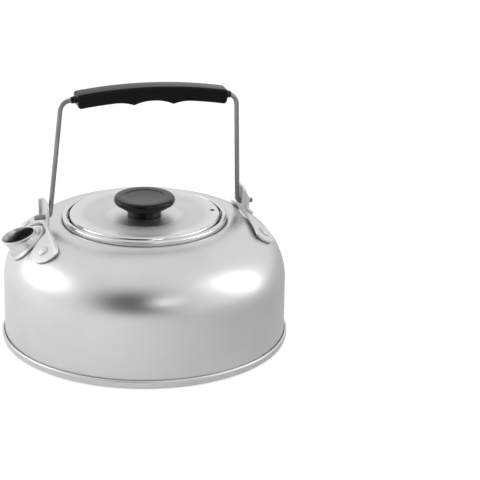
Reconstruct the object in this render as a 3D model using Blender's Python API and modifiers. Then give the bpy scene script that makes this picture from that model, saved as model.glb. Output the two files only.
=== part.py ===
"""Camping kettle of spun aluminium with a folding wire bail, a lid and a tea infuser basket.

The kettle stands on the floor with the middle of its base at the origin and +Z up.
The spout points along -X, and the bail turns about a line along X through both brackets.
The basket hangs in the mouth and the lid closes it, as the kettle is carried and used.
"""
import math

import bmesh
import bpy
from mathutils import Matrix, Vector

# Fits
GAP = 0.0003                 # between pieces that touch
LID_PLAY = 0.00065           # round the lid inside the mouth ring
BASKET_PLAY = 0.0005         # round the basket in the opening of the ledge
WIRE_PLAY = 0.0003           # round the bail wire in its bracket holes
FOOT_PLAY = 0.00035          # between the bail's legs and the bracket plates

# Body shell
SHEET = 0.0007               # thickness of the body sheet
WALL_RADIUS = 0.0746         # outside of the upright wall
WALL_HEIGHT = 0.0332         # where the wall turns into the shoulder
SHOULDER_RADIUS = 0.0325     # outside radius of the shoulder arc
CROWN_WIDTH = 0.0053         # from the neck to the end of the shoulder arc
CROWN_DIP = 0.0008           # fall of the crown towards the neck
NECK_FILLET = 0.0010         # bend where the crown turns up into the neck
FLARE = 0.0005               # turned-out edge that the base pan grips

# Base pan
PAN_SHEET = 0.0006
PAN_HEIGHT = 0.0047          # top of the rolled rim
PAN_BEND = 0.0014            # bend between the floor and the rim
PAN_ROLL = 0.0006            # bend that closes the rim over the body edge

# Mouth ring
RING_SHEET = 0.0006
BEAD_RISE = 0.0026           # top of the bead above the crown
MOUTH_DEPTH = 0.0054         # ledge below the top of the bead
LEDGE_FILLET = 0.0008
LEDGE_LIP = 0.0016           # turned-down edge of the ledge

# Lid
LID_RADIUS = 0.0401
LID_SHEET = 0.0006
LID_DEPTH = 0.0056           # skirt and top together
LID_EDGE_BEND = 0.0014
DISH_INSET = 0.0091          # from the lid's edge in to the dish
DISH_DEPTH = 0.0011
DISH_SLOPE = 0.0022          # width of the slope round the dish
VENT_RADIUS = 0.0010
VENT_INSET = 0.0042          # from the lid's edge in to the vent hole
VENT_TURN = math.radians(-9.0)

# Knob and its fastening
KNOB_RADIUS = 0.0162
KNOB_HEIGHT = 0.0098
KNOB_TOP_RADIUS = 0.0154
KNOB_BRIM_DROP = 0.0020      # widest place below the top
KNOB_DISC_RADIUS = 0.0104
KNOB_DISC_STEP = 0.0003
KNOB_STEM_RADIUS = 0.0090
KNOB_STEM_HEIGHT = 0.0031
KNOB_RIBS = 3
KNOB_RIB_WIDTH = 0.0009
KNOB_RIB_DROP = 0.0010
INSERT_RADIUS = 0.0029
INSERT_LENGTH = 0.0056
SCREW_RADIUS = 0.0015
SCREW_POINT = 0.0005         # chamfer at the end of the screw
SCREW_HEAD_RADIUS = 0.0029
SCREW_HEAD_HEIGHT = 0.0019
SCREW_LENGTH = 0.0074
WASHER_RADIUS = 0.0040
WASHER_THICKNESS = 0.0006

# Infuser basket
BASKET_INSET = 0.0054        # from the lid's edge in to the basket's wall
BASKET_SHEET = 0.0007
BASKET_HEIGHT = 0.0380
BASKET_CORNER = 0.0060
BASKET_CURL = 0.0023
CURL_END = math.radians(35.0)
HOLE_RADIUS = 0.0010
HOLE_COLUMNS = 4
HOLE_ROWS = 5
HOLE_PANELS = 4
COLUMN_TURN = math.radians(10.6)
ROW_PITCH = 0.0060
FIRST_ROW = 0.0062           # below the top of the basket
KEY_HOLE_RADIUS = 0.0026     # the two large holes for a hook or a fork
KEY_HOLE_DEPTH = 0.0082
FLOOR_HOLE_RINGS = ((4, 0.0075), (8, 0.0165))    # holes in the ring, and its radius

# Spout
SPOUT_SHEET = 0.0008
SPOUT_OUT = 0.0112                 # middle of the spout's seat beyond the bracket's plate
SPOUT_NECK_RADIUS = 0.0092
SPOUT_MOUTH_RADIUS = 0.0093
SPOUT_FLANGE_RADIUS = 0.0116
SPOUT_REACH = 0.0043
SPOUT_RISE = 0.0042
SPOUT_LEAN = math.radians(17.0)    # mouth's axis from upright
SPOUT_CLINCH = 0.0014              # turned-out edge inside the body
SPOUT_WAIST = 0.0004               # how far the spout is drawn in between seat and mouth
SPOUT_EDGE = 0.0003                # rounding of the flange's edge and of its root

# Brackets and rivets
BRACKET_SHEET = 0.0012
PLATE_REACH = 0.0524         # inside of the upright plate from the axis
PLATE_HALF = 0.0070
PLATE_RISE = 0.0088          # top of the plate above the pivot
PLATE_CORNER = 0.0032
PIVOT_RISE = 0.0061          # pivot above the shoulder under the plate
ARM_DROP = 0.0034            # top of the arms below the pivot
EAR_WIDTH = 0.0024
EAR_LOW = 0.0026             # foot of the ear below the pivot
EAR_DROP_SPOUT = 0.0010      # outer corner of the ear below the top of the plate
EAR_DROP_REAR = 0.0048
EAR_ROOT = 0.0009            # where the ear leaves the rounded top of the plate
ARM_SPREAD = 0.0030          # how the outer edge of an arm swings out from the plate
ARM_FALL = 0.0008
CROTCH_SPREAD = 0.0035       # the same for its inner edge, from the foot of the plate
CROTCH_INSET = 0.0020
FOOT_GAP = 0.0009            # foot of the plate above the shoulder
RIVET_OUT = 0.0098           # rivets beyond the inside of the plate
NEAR_SPREAD = 0.0215         # rivets beside the plate's middle, on the -Y side
FAR_SPREAD = 0.0184          # and on the +Y side, where the arm is shorter
NEAR_LOBE = 0.0079           # radius of the arm's round end
FAR_LOBE = 0.0062
LOBE_SHIFT = 0.0009          # middle of the round end beyond its rivet
LOBE_ARC = (75, -150)        # stretch of the outline that is the round lobe, in degrees
FOLD_SOFTNESS = 0.0008
RIVET_RADIUS = 0.0015
RIVET_HEAD_RADIUS = 0.0030
RIVET_HEAD_HEIGHT = 0.0012
RIVET_TAIL_RADIUS = 0.0036
RIVET_TAIL_HEIGHT = 0.0009

# Bail and grip
WIRE_RADIUS = 0.00125
WIRE_TIP = 0.0067            # wire end beyond the inside of the plate
FOOT_BEND = 0.0026
TOP_BEND = 0.0056
BAIL_RISE_SPOUT = 0.0616     # bail corner above the pivot, spout side
BAIL_RISE_REAR = 0.0587
LEAN_SPOUT = 0.0067          # how far that corner stands in from its foot
LEAN_REAR = 0.0013
BAR_ARCH = 0.0045            # rise of the bar between its corners
GRIP_LENGTH = 0.0799
GRIP_SHIFT = 0.0009          # middle of the grip from the middle of the bar
GRIP_WIDTH = 0.0106
GRIP_ABOVE = 0.0033          # top of the grip above the middle of the wire
GRIP_BELOW = 0.0043
GRIP_CORNER = 0.0016
GRIP_EDGE = 0.0013
CUSP_HEIGHT = 0.0019
CUSP_REACH = 0.0100
CUSP_PLACES = (-0.0065, 0.0149)
SLEEVE_WALL = 0.0004
SLEEVE_PROUD = 0.0026        # sleeve beyond each end of the grip

# Facets
TURN_STEPS = 36
SMALL_TURN_STEPS = 12
KNOB_STEPS = 24
BASKET_STEPS = 28
SHOULDER_STEPS = 7
CROWN_STEPS = 2
BEND_STEPS = 3
FILLET_STEPS = 2
LEDGE_STEPS = 1
BEAD_STEPS = 5
DOME_STEPS = 3
SPOUT_SIDES = 20
SPOUT_STEPS = 3
LOBE_STEPS = 10
ARM_STEPS = 4
FOLD_LINES = 6               # bending lines across each arm of a bracket
FOLD_PITCH = 0.0036          # height between bending lines along the arms
BAR_STEPS = 12
WIRE_BEND_STEPS = 4
WIRE_ROUND_STEPS = 2
GRIP_STEPS = 20
HOLE_SIDES = 5
VENT_SIDES = 8
THROUGH = 0.010              # length of a cutter that goes through a sheet
MERGE = 0.00001
SHARP = math.radians(40.0)

# Places that follow from the sizes
SHOULDER_CENTRE = WALL_RADIUS - SHOULDER_RADIUS
DISH_RADIUS = LID_RADIUS - DISH_INSET
VENT_DISTANCE = LID_RADIUS - VENT_INSET
BASKET_RADIUS = LID_RADIUS - BASKET_INSET
COLLAR_RADIUS = LID_RADIUS + LID_PLAY + RING_SHEET / 2
NECK_RADIUS = COLLAR_RADIUS + RING_SHEET / 2 + GAP + SHEET / 2
CURL_RADIUS = NECK_RADIUS + SHEET / 2 + GAP + RING_SHEET / 2
CROWN_RADIUS = NECK_RADIUS + SHEET / 2 + CROWN_WIDTH
CROWN_ANGLE = math.acos((CROWN_RADIUS - SHOULDER_CENTRE) / SHOULDER_RADIUS)
CROWN_TOP = WALL_HEIGHT + SHOULDER_RADIUS * math.sin(CROWN_ANGLE)
RING_TOP = CROWN_TOP + BEAD_RISE
LEDGE_TOP = RING_TOP - MOUTH_DEPTH
LID_TOP = LEDGE_TOP + GAP + LID_DEPTH
DISH_TOP = LID_TOP - DISH_DEPTH
KNOB_FOOT = DISH_TOP + GAP
# A facet's middle lies this far inside the true curve of the shoulder
FACET_EASE = (WALL_RADIUS * (1 - math.cos(math.pi / TURN_STEPS))
              + SHOULDER_RADIUS * (1 - math.cos(CROWN_ANGLE / SHOULDER_STEPS / 2)))


def shoulder_height(radius):
    """Height of the outside of the shoulder at a distance from the axis."""
    return WALL_HEIGHT + math.sqrt(SHOULDER_RADIUS ** 2 - (radius - SHOULDER_CENTRE) ** 2)


def shoulder_rise(radius):
    """How steeply the shoulder's normal rises at a distance from the axis, as an angle."""
    return math.acos((radius - SHOULDER_CENTRE) / SHOULDER_RADIUS)


PIVOT_HEIGHT = shoulder_height(PLATE_REACH) + PIVOT_RISE
RIVET_SEAT = shoulder_rise(PLATE_REACH + RIVET_OUT)
SPOUT_SEAT = shoulder_rise(PLATE_REACH + SPOUT_OUT)


def clear_scene():
    for old in list(bpy.data.objects):
        bpy.data.objects.remove(old, do_unlink=True)


def new_collection(name):
    made = bpy.data.collections.new(name)
    bpy.context.scene.collection.children.link(made)
    return made


def new_material(name, colour, roughness, metallic):
    made = bpy.data.materials.new(name)
    made.use_nodes = True
    shader = made.node_tree.nodes["Principled BSDF"]
    shader.inputs["Base Color"].default_value = (*colour, 1.0)
    shader.inputs["Roughness"].default_value = roughness
    shader.inputs["Metallic"].default_value = metallic
    made.diffuse_color = (*colour, 1.0)
    return made


def add_object(name, mesh, finish, collection):
    made = bpy.data.objects.new(name, mesh)
    if finish:
        mesh.materials.append(finish)
    collection.objects.link(made)
    return made


def add_cutter(name, mesh, collection):
    made = add_object(name, mesh, None, collection)
    made.hide_render = True
    made.display_type = "WIRE"
    return made


def hang_on(name, place, pieces, collection):
    """Empty on a joint's axis that carries the pieces which move about it."""
    pivot = bpy.data.objects.new(name, None)
    collection.objects.link(pivot)
    pivot.location = place
    bpy.context.view_layer.update()
    for piece in pieces:
        piece.parent = pivot
        piece.matrix_parent_inverse = pivot.matrix_world.inverted()


def cut(target, cutter):
    step = target.modifiers.new("Cut " + cutter.name, "BOOLEAN")
    step.operation = "DIFFERENCE"
    step.solver = "EXACT"
    step.object = cutter


def give_wall(made, wall):
    sheet = made.modifiers.new("Sheet", "SOLIDIFY")
    sheet.thickness = wall
    sheet.offset = 0.0
    sheet.use_even_offset = True
    sheet.use_quality_normals = True


def ellipse(centre, half_width, half_height, start, end, steps):
    """Points of an elliptic arc, angles in degrees from the outward direction."""
    points = []
    for i in range(steps + 1):
        angle = math.radians(start + (end - start) * i / steps)
        points.append((centre[0] + half_width * math.cos(angle),
                       centre[1] + half_height * math.sin(angle)))
    return points


def arc(centre, radius, start, end, steps):
    return ellipse(centre, radius, radius, start, end, steps)


def bezier(start, control, end, steps):
    points = []
    for i in range(steps + 1):
        t = i / steps
        a, b, c = (1 - t) ** 2, 2 * t * (1 - t), t * t
        points.append((a * start[0] + b * control[0] + c * end[0],
                       a * start[1] + b * control[1] + c * end[1]))
    return points


def turned(name, line, finish, collection, steps=TURN_STEPS, wall=0.0, closed=False):
    """Turn a profile of (radius, height) points about Z, as a solid or as a sheet."""
    mesh = bpy.data.meshes.new(name)
    edges = [(i, i + 1) for i in range(len(line) - 1)]
    if closed:
        edges.append((len(line) - 1, 0))
    mesh.from_pydata([(r, 0.0, z) for r, z in line], edges, [])
    made = add_object(name, mesh, finish, collection)
    screw = made.modifiers.new("Turn", "SCREW")
    screw.axis = "Z"
    screw.steps = steps
    screw.render_steps = steps
    screw.use_merge_vertices = True
    screw.merge_threshold = MERGE
    screw.use_smooth_shade = True
    if wall:
        give_wall(made, wall)
    return made


def mesh_of(made):
    """The evaluated mesh of an object as a new mesh, with loose caps welded on."""
    made_of = made.evaluated_get(bpy.context.evaluated_depsgraph_get())
    mesh = bpy.data.meshes.new_from_object(made_of)
    work = bmesh.new()
    work.from_mesh(mesh)
    bmesh.ops.remove_doubles(work, verts=work.verts, dist=MERGE / 10)
    work.to_mesh(mesh)
    work.free()
    return mesh


def on_shoulder(rise, turn, height):
    """Point over the shoulder: rise of the normal, turn about Z, height above the outside."""
    reach = SHOULDER_RADIUS + height
    radius = SHOULDER_CENTRE + reach * math.cos(rise)
    return Vector((radius * math.cos(turn), radius * math.sin(turn),
                   WALL_HEIGHT + reach * math.sin(rise)))


def shoulder_frame(rise, turn):
    """Matrix with its origin on the shoulder and its Z along the shoulder's normal."""
    up = Vector((math.cos(rise) * math.cos(turn), math.cos(rise) * math.sin(turn), math.sin(rise)))
    side = Vector((-math.sin(turn), math.cos(turn), 0.0))
    along = side.cross(up)
    frame = Matrix((along, side, up)).transposed().to_4x4()
    frame.translation = on_shoulder(rise, turn, 0.0)
    return frame


def place_rod(work, radius, length, frame, sides):
    bmesh.ops.create_cone(work, cap_ends=True, segments=sides, radius1=radius, radius2=radius,
                          depth=length, matrix=frame)


def rod_cutter(name, radius, length, frame, sides, collection):
    mesh = bpy.data.meshes.new(name)
    work = bmesh.new()
    place_rod(work, radius, length, frame, sides)
    work.to_mesh(mesh)
    work.free()
    return add_cutter(name, mesh, collection)


def skin_rings(name, rings, finish, collection):
    """Loft through a closed row of rings that all have the same number of points."""
    mesh = bpy.data.meshes.new(name)
    work = bmesh.new()
    rows = [[work.verts.new(point) for point in ring] for ring in rings]
    count = len(rings[0])
    for lower, upper in zip(rows, rows[1:] + rows[:1]):
        for i in range(count):
            after = (i + 1) % count
            work.faces.new((lower[i], lower[after], upper[after], upper[i]))
    bmesh.ops.recalc_face_normals(work, faces=work.faces)
    work.to_mesh(mesh)
    work.free()
    mesh.shade_smooth()
    mesh.set_sharp_from_angle(angle=SHARP)
    return add_object(name, mesh, finish, collection)


def body_line():
    """Middle of the body sheet, from the top of the neck to the flared foot."""
    middle_radius = SHOULDER_RADIUS - SHEET / 2
    crown_end = SHOULDER_CENTRE + middle_radius * math.cos(CROWN_ANGLE)
    crown_height = WALL_HEIGHT + middle_radius * math.sin(CROWN_ANGLE)
    gutter = crown_height - CROWN_DIP
    start = NECK_RADIUS + NECK_FILLET
    line = [(NECK_RADIUS, RING_TOP - RING_SHEET - GAP)]
    line += arc((start, gutter + NECK_FILLET), NECK_FILLET, 180, 270, FILLET_STEPS)
    for i in range(1, CROWN_STEPS):
        share = i / CROWN_STEPS
        line.append((start + (crown_end - start) * share,
                     gutter + CROWN_DIP * math.sin(share * math.pi / 2)))
    line += arc((SHOULDER_CENTRE, WALL_HEIGHT), middle_radius, math.degrees(CROWN_ANGLE), 0,
                SHOULDER_STEPS)
    foot = PAN_SHEET + GAP + SHEET
    wall_middle = WALL_RADIUS - SHEET / 2
    line += [(wall_middle, foot + FLARE * 2), (wall_middle + FLARE, foot)]
    return line


def pan_line():
    """Middle of the base sheet, from the middle of the floor to the end of the rolled rim."""
    floor = PAN_SHEET / 2
    rim = WALL_RADIUS + FLARE + GAP + PAN_SHEET / 2
    line = [(0.0, floor)]
    line += arc((rim - PAN_BEND, floor + PAN_BEND), PAN_BEND, 270, 360, BEND_STEPS)
    top = PAN_HEIGHT - PAN_SHEET / 2 - PAN_ROLL
    line += arc((rim - PAN_ROLL, top), PAN_ROLL, 0, 90, FILLET_STEPS)
    return line


def ring_line():
    """Middle of the mouth ring's sheet, from the lip of the ledge round the bead."""
    lip = BASKET_RADIUS + BASKET_PLAY + RING_SHEET / 2
    ledge = LEDGE_TOP - RING_SHEET / 2
    bead = (CURL_RADIUS - COLLAR_RADIUS) / 2
    bead_centre = (COLLAR_RADIUS + bead, RING_TOP - RING_SHEET / 2 - bead)
    line = [(lip, ledge - LEDGE_LIP)]
    line += arc((lip + LEDGE_FILLET, ledge - LEDGE_FILLET), LEDGE_FILLET, 180, 90, LEDGE_STEPS)
    line += arc((COLLAR_RADIUS - LEDGE_FILLET, ledge + LEDGE_FILLET), LEDGE_FILLET, 270, 360,
                LEDGE_STEPS)
    line += arc(bead_centre, bead, 180, 0, BEAD_STEPS)
    line.append((CURL_RADIUS, CROWN_TOP - CROWN_DIP + GAP * 2))
    return line


def lid_line():
    """Middle of the lid's sheet, from the screw hole to the foot of the skirt."""
    top = LID_TOP - LID_SHEET / 2
    dish = DISH_TOP - LID_SHEET / 2
    rim = LID_RADIUS - LID_SHEET / 2
    line = [(SCREW_RADIUS + GAP, dish)]
    for i in range(BEND_STEPS + 1):
        share = i / BEND_STEPS
        rise = DISH_DEPTH * share ** 2 * (3 - 2 * share)
        line.append((DISH_RADIUS + DISH_SLOPE * (share - 0.5), dish + rise))
    line += arc((rim - LID_EDGE_BEND, top - LID_EDGE_BEND), LID_EDGE_BEND, 90, 0, BEND_STEPS)
    line.append((rim, LEDGE_TOP + GAP))
    return line


def basket_curl_middle():
    """Middle of the arc that the basket's rim is curled round."""
    wall = BASKET_RADIUS - BASKET_SHEET / 2
    end_low = BASKET_CURL * math.sin(CURL_END) - BASKET_SHEET / 2 * math.cos(CURL_END)
    return (wall + BASKET_CURL, LEDGE_TOP + GAP - end_low)


def basket_top():
    return basket_curl_middle()[1] + BASKET_CURL + BASKET_SHEET / 2


def basket_floor():
    return basket_top() - BASKET_HEIGHT


def basket_line():
    """Middle of the basket's sheet, from the end of the curled rim to the middle of the floor."""
    wall = BASKET_RADIUS - BASKET_SHEET / 2
    floor = basket_floor() + BASKET_SHEET / 2
    line = arc(basket_curl_middle(), BASKET_CURL, math.degrees(CURL_END), 180, BEND_STEPS)
    line += arc((wall - BASKET_CORNER, floor + BASKET_CORNER), BASKET_CORNER, 0, -90, BEND_STEPS)
    line.append((0.0, floor))
    return line


def knob_line():
    """Outside of the knob from the middle of its top down to the end of the insert's bore."""
    top = KNOB_FOOT + KNOB_HEIGHT
    brim = top - KNOB_BRIM_DROP
    bore = INSERT_RADIUS + GAP
    bore_end = KNOB_FOOT + GAP * 2 + INSERT_LENGTH
    line = [(0.0, top - KNOB_DISC_STEP), (KNOB_DISC_RADIUS, top - KNOB_DISC_STEP),
            (KNOB_DISC_RADIUS + KNOB_DISC_STEP, top)]
    line += ellipse((KNOB_TOP_RADIUS, brim), KNOB_RADIUS - KNOB_TOP_RADIUS, KNOB_BRIM_DROP,
                    90, 0, BEND_STEPS)
    run = (KNOB_RADIUS - KNOB_STEM_RADIUS) / KNOB_RIBS
    fall = (brim - KNOB_FOOT - KNOB_STEM_HEIGHT) / KNOB_RIBS
    for i in range(1, KNOB_RIBS + 1):
        inner = KNOB_RADIUS - run * i
        low = brim - fall * i
        line += [(inner + KNOB_RIB_WIDTH, low + KNOB_RIB_DROP), (inner, low)]
    line += [(KNOB_STEM_RADIUS, KNOB_FOOT), (bore, KNOB_FOOT), (bore, bore_end), (0.0, bore_end)]
    return line


def insert_line():
    """Threaded bush moulded into the knob: outside down, bore up."""
    low = KNOB_FOOT + GAP
    bore = SCREW_RADIUS + GAP
    return [(INSERT_RADIUS, low + INSERT_LENGTH), (INSERT_RADIUS, low),
            (bore, low), (bore, low + INSERT_LENGTH)]


def washer_line():
    high = DISH_TOP - LID_SHEET - GAP
    bore = SCREW_RADIUS + GAP
    return [(WASHER_RADIUS, high), (WASHER_RADIUS, high - WASHER_THICKNESS),
            (bore, high - WASHER_THICKNESS), (bore, high)]


def screw_line():
    """Pan head screw, head down, from the end of its shank to the middle of its head."""
    seat = DISH_TOP - LID_SHEET - GAP * 2 - WASHER_THICKNESS
    end = seat + SCREW_LENGTH
    line = [(0.0, end), (SCREW_RADIUS - SCREW_POINT, end), (SCREW_RADIUS, end - SCREW_POINT),
            (SCREW_RADIUS, seat)]
    line += ellipse((0.0, seat), SCREW_HEAD_RADIUS, -SCREW_HEAD_HEIGHT, 0, 90, DOME_STEPS)
    return line


def rivet_line():
    """Rivet about its own axis, with its zero on the outside of the body."""
    head = GAP + BRACKET_SHEET + GAP
    tail = -SHEET - GAP - FACET_EASE - RIVET_TAIL_RADIUS ** 2 / (2 * SHOULDER_RADIUS)
    line = ellipse((0.0, head), RIVET_HEAD_RADIUS, RIVET_HEAD_HEIGHT, 90, 0, DOME_STEPS)
    line += [(RIVET_RADIUS, head), (RIVET_RADIUS, tail), (RIVET_TAIL_RADIUS, tail),
             (RIVET_TAIL_RADIUS, tail - RIVET_TAIL_HEIGHT), (0.0, tail - RIVET_TAIL_HEIGHT)]
    return line


def rivet_places():
    """Name and turn of each rivet's seat on the shoulder."""
    radius = SHOULDER_CENTRE + SHOULDER_RADIUS * math.cos(RIVET_SEAT)
    near = math.asin(NEAR_SPREAD / radius)
    far = math.asin(FAR_SPREAD / radius)
    return [("rivet_spout_near", math.pi + near), ("rivet_spout_far", math.pi - far),
            ("rivet_rear_near", -near), ("rivet_rear_far", far)]


def seat_ring(radius, height):
    """Ring of points round the spout's seat, laid over the curved shoulder."""
    seat_radius = SHOULDER_CENTRE + SHOULDER_RADIUS * math.cos(SPOUT_SEAT)
    ring = []
    for i in range(SPOUT_SIDES):
        angle = 2 * math.pi * i / SPOUT_SIDES
        rise = SPOUT_SEAT + radius * math.cos(angle) / SHOULDER_RADIUS
        turn = math.pi + radius * math.sin(angle) / seat_radius
        ring.append(on_shoulder(rise, turn, height))
    return ring


def lip_ring(radius):
    """Ring of points at the spout's mouth, in the same order as those round its seat."""
    seat = on_shoulder(SPOUT_SEAT, math.pi, 0.0)
    centre = seat + Vector((-SPOUT_REACH, 0.0, SPOUT_RISE))
    uphill = Vector((math.cos(SPOUT_LEAN), 0.0, math.sin(SPOUT_LEAN)))
    side = Vector((0.0, -1.0, 0.0))
    ring = []
    for i in range(SPOUT_SIDES):
        angle = 2 * math.pi * i / SPOUT_SIDES
        ring.append(centre + radius * (math.cos(angle) * uphill + math.sin(angle) * side))
    return ring


def rings_between(low, high):
    """Rings from one ring up to another, drawn in between them by the waist."""
    rings = []
    for step in range(1, SPOUT_STEPS):
        share = step / SPOUT_STEPS
        waist = SPOUT_WAIST * math.sin(math.pi * share)
        ring = [a.lerp(b, share) for a, b in zip(low, high)]
        middle = sum(ring, Vector()) / len(ring)
        rings.append([point + (middle - point).normalized() * waist for point in ring])
    return rings


def make_spout(finish, collection):
    """Flared spout: neck through the body, flange on it, clinched edge inside it."""
    inner = SPOUT_NECK_RADIUS - SPOUT_SHEET
    clinch = SPOUT_NECK_RADIUS + SPOUT_CLINCH
    flange_top = GAP + SPOUT_SHEET
    clinch_top = -SHEET - GAP - FACET_EASE
    clinch_low = clinch_top - SPOUT_SHEET
    outer_seat = seat_ring(SPOUT_NECK_RADIUS, flange_top + SPOUT_EDGE)
    outer_lip = lip_ring(SPOUT_MOUTH_RADIUS)
    inner_seat = seat_ring(inner, flange_top)
    inner_lip = lip_ring(SPOUT_MOUTH_RADIUS - SPOUT_SHEET)
    rings = [outer_lip]
    rings += rings_between(outer_seat, outer_lip)[::-1]
    rings += [outer_seat, seat_ring(SPOUT_FLANGE_RADIUS - SPOUT_EDGE, flange_top),
              seat_ring(SPOUT_FLANGE_RADIUS, flange_top - SPOUT_EDGE),
              seat_ring(SPOUT_FLANGE_RADIUS, GAP), seat_ring(SPOUT_NECK_RADIUS, GAP),
              seat_ring(SPOUT_NECK_RADIUS, clinch_top), seat_ring(clinch, clinch_top),
              seat_ring(clinch, clinch_low), seat_ring(inner, clinch_low), inner_seat]
    rings += rings_between(inner_seat, inner_lip)
    rings.append(inner_lip)
    return skin_rings("spout", rings, finish, collection)


def bracket_side(arm_form, ear_drop):
    """Half of the bracket's outline, from its top to the middle of its foot, with or without ear."""
    spread, lobe_radius = arm_form
    top = PIVOT_HEIGHT + PLATE_RISE
    arm = PIVOT_HEIGHT - ARM_DROP
    foot = shoulder_height(PLATE_REACH) + FOOT_GAP
    lobe = (spread + LOBE_SHIFT, on_shoulder(RIVET_SEAT, 0.0, GAP + BRACKET_SHEET / 2).z)
    lobe_height = lobe_radius * math.cos(RIVET_SEAT)
    if ear_drop:
        low = PIVOT_HEIGHT - EAR_LOW
        edge = PLATE_HALF + EAR_WIDTH
        side = [(PLATE_HALF - EAR_ROOT, top), (PLATE_HALF, top - EAR_ROOT / 2)]
        side += bezier((edge, top - ear_drop), (edge, PIVOT_HEIGHT), (edge - EAR_ROOT / 2, low),
                       BEND_STEPS)
        side += [(PLATE_HALF, low), (PLATE_HALF, arm)]
    else:
        side = arc((PLATE_HALF - PLATE_CORNER, top - PLATE_CORNER), PLATE_CORNER, 90, 0, BEND_STEPS)
        side.append((PLATE_HALF, arm))
    tip = ellipse(lobe, lobe_radius, lobe_height, *LOBE_ARC, LOBE_STEPS)
    outer = (PLATE_HALF + ARM_SPREAD, arm - ARM_FALL)
    side += bezier((PLATE_HALF, arm), outer, tip[0], ARM_STEPS)[1:-1]
    side += tip
    inner = (PLATE_HALF + CROTCH_SPREAD, foot - ARM_FALL)
    side += bezier(tip[-1], inner, (PLATE_HALF - CROTCH_INSET, foot), BEND_STEPS)[1:]
    return side


def bracket_form(y, z):
    """Where a point of the flat blank goes when the bracket is bent over the shoulder."""
    plate = PLATE_REACH + BRACKET_SHEET / 2
    reach = SHOULDER_RADIUS + GAP + BRACKET_SHEET / 2
    if y < -PLATE_HALF and z > PIVOT_HEIGHT - ARM_DROP:
        return Vector((plate + (-PLATE_HALF - y), -PLATE_HALF, z))
    over = max(reach ** 2 - (z - WALL_HEIGHT) ** 2, 0.0)
    radius = SHOULDER_CENTRE + math.sqrt(over)
    seated = math.sqrt(max(radius ** 2 - y ** 2, 0.0))
    half = (plate - seated) / 2
    return Vector(((plate + seated) / 2 + math.hypot(half, FOLD_SOFTNESS), y, z))


def slice_blank(work, point, normal):
    bmesh.ops.bisect_plane(work, geom=work.verts[:] + work.edges[:] + work.faces[:],
                           dist=MERGE / 10, plane_co=point, plane_no=normal)


def make_bracket(name, turn, plain_arm, ear_arm, ear_drop, finish, collection):
    """Stamped bracket: upright plate with an ear, and two arms riveted to the shoulder.

    Each arm is given as the spread of its rivet and the radius of its round end.
    """
    outline = bracket_side(plain_arm, 0.0)
    outline += [(-y, z) for y, z in reversed(bracket_side(ear_arm, ear_drop))]
    mesh = bpy.data.meshes.new(name)
    work = bmesh.new()
    work.faces.new([work.verts.new((0.0, y, z)) for y, z in outline])
    span = max(sum(plain_arm), sum(ear_arm)) - PLATE_HALF
    for i in range(FOLD_LINES):
        across = PLATE_HALF + span * i / FOLD_LINES
        slice_blank(work, (0.0, across, 0.0), (0.0, 1.0, 0.0))
        slice_blank(work, (0.0, -across, 0.0), (0.0, 1.0, 0.0))
    high = PIVOT_HEIGHT - ARM_DROP
    low = on_shoulder(RIVET_SEAT, 0.0, 0.0).z - NEAR_LOBE * math.cos(RIVET_SEAT)
    rows = math.ceil((high - low) / FOLD_PITCH)
    for i in range(rows):
        slice_blank(work, (0.0, 0.0, high - (high - low) * i / rows), (0.0, 0.0, 1.0))
    for point in work.verts:
        point.co = bracket_form(point.co.y, point.co.z)
    bmesh.ops.recalc_face_normals(work, faces=work.faces)
    work.transform(Matrix.Rotation(turn, 4, "Z"))
    work.to_mesh(mesh)
    work.free()
    made = add_object(name, mesh, finish, collection)
    give_wall(made, BRACKET_SHEET)
    return made


def bail_corners():
    """Feet and top corners of the bail in its own plane, as (x, z)."""
    foot = PLATE_REACH - FOOT_PLAY - WIRE_RADIUS
    spout = (-foot + LEAN_SPOUT, PIVOT_HEIGHT + BAIL_RISE_SPOUT)
    rear = (foot - LEAN_REAR, PIVOT_HEIGHT + BAIL_RISE_REAR)
    return foot, spout, rear


def bar_point(share):
    """Point and upward direction on the arched bar, share 0 at the spout corner."""
    spout, rear = bail_corners()[1:]
    chord = Vector((rear[0] - spout[0], rear[1] - spout[1]))
    half = chord.length / 2
    radius = half ** 2 / (2 * BAR_ARCH) + BAR_ARCH / 2
    across = Vector((-chord.y, chord.x)).normalized()
    centre = Vector(spout) + chord / 2 - across * (radius - BAR_ARCH)
    angle = (2 * share - 1) * math.asin(half / radius)
    up = across * math.cos(angle) + chord.normalized() * math.sin(angle)
    return centre + up * radius, up


def filleted(before, corner, after, radius):
    """Arc of a given radius that rounds one corner of a path in the bail's plane."""
    before, corner, after = Vector(before), Vector(corner), Vector(after)
    first = (before - corner).normalized()
    second = (after - corner).normalized()
    half = first.angle(second) / 2
    centre = corner + (first + second).normalized() * (radius / math.sin(half))
    start = corner + first * (radius / math.tan(half)) - centre
    end = corner + second * (radius / math.tan(half)) - centre
    whole = start.angle(end)
    points = []
    for i in range(WIRE_BEND_STEPS + 1):
        t = i / WIRE_BEND_STEPS
        mixed = start * math.sin((1 - t) * whole) + end * math.sin(t * whole)
        points.append(centre + mixed / math.sin(whole))
    return points


def bail_path():
    """Middle of the wire from one tip over the top to the other, as (x, z)."""
    foot, spout, rear = bail_corners()
    tip = PLATE_REACH + WIRE_TIP
    low = PIVOT_HEIGHT
    bar = [bar_point(i / BAR_STEPS)[0] for i in range(BAR_STEPS + 1)]
    path = [Vector((-tip, low))]
    path += filleted((-tip, low), (-foot, low), spout, FOOT_BEND)
    path += filleted((-foot, low), spout, bar[1], TOP_BEND)
    path += bar[2:-2]
    path += filleted(bar[-2], rear, (foot, low), TOP_BEND)
    path += filleted(rear, (foot, low), (tip, low), FOOT_BEND)
    path.append(Vector((tip, low)))
    return path


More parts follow.
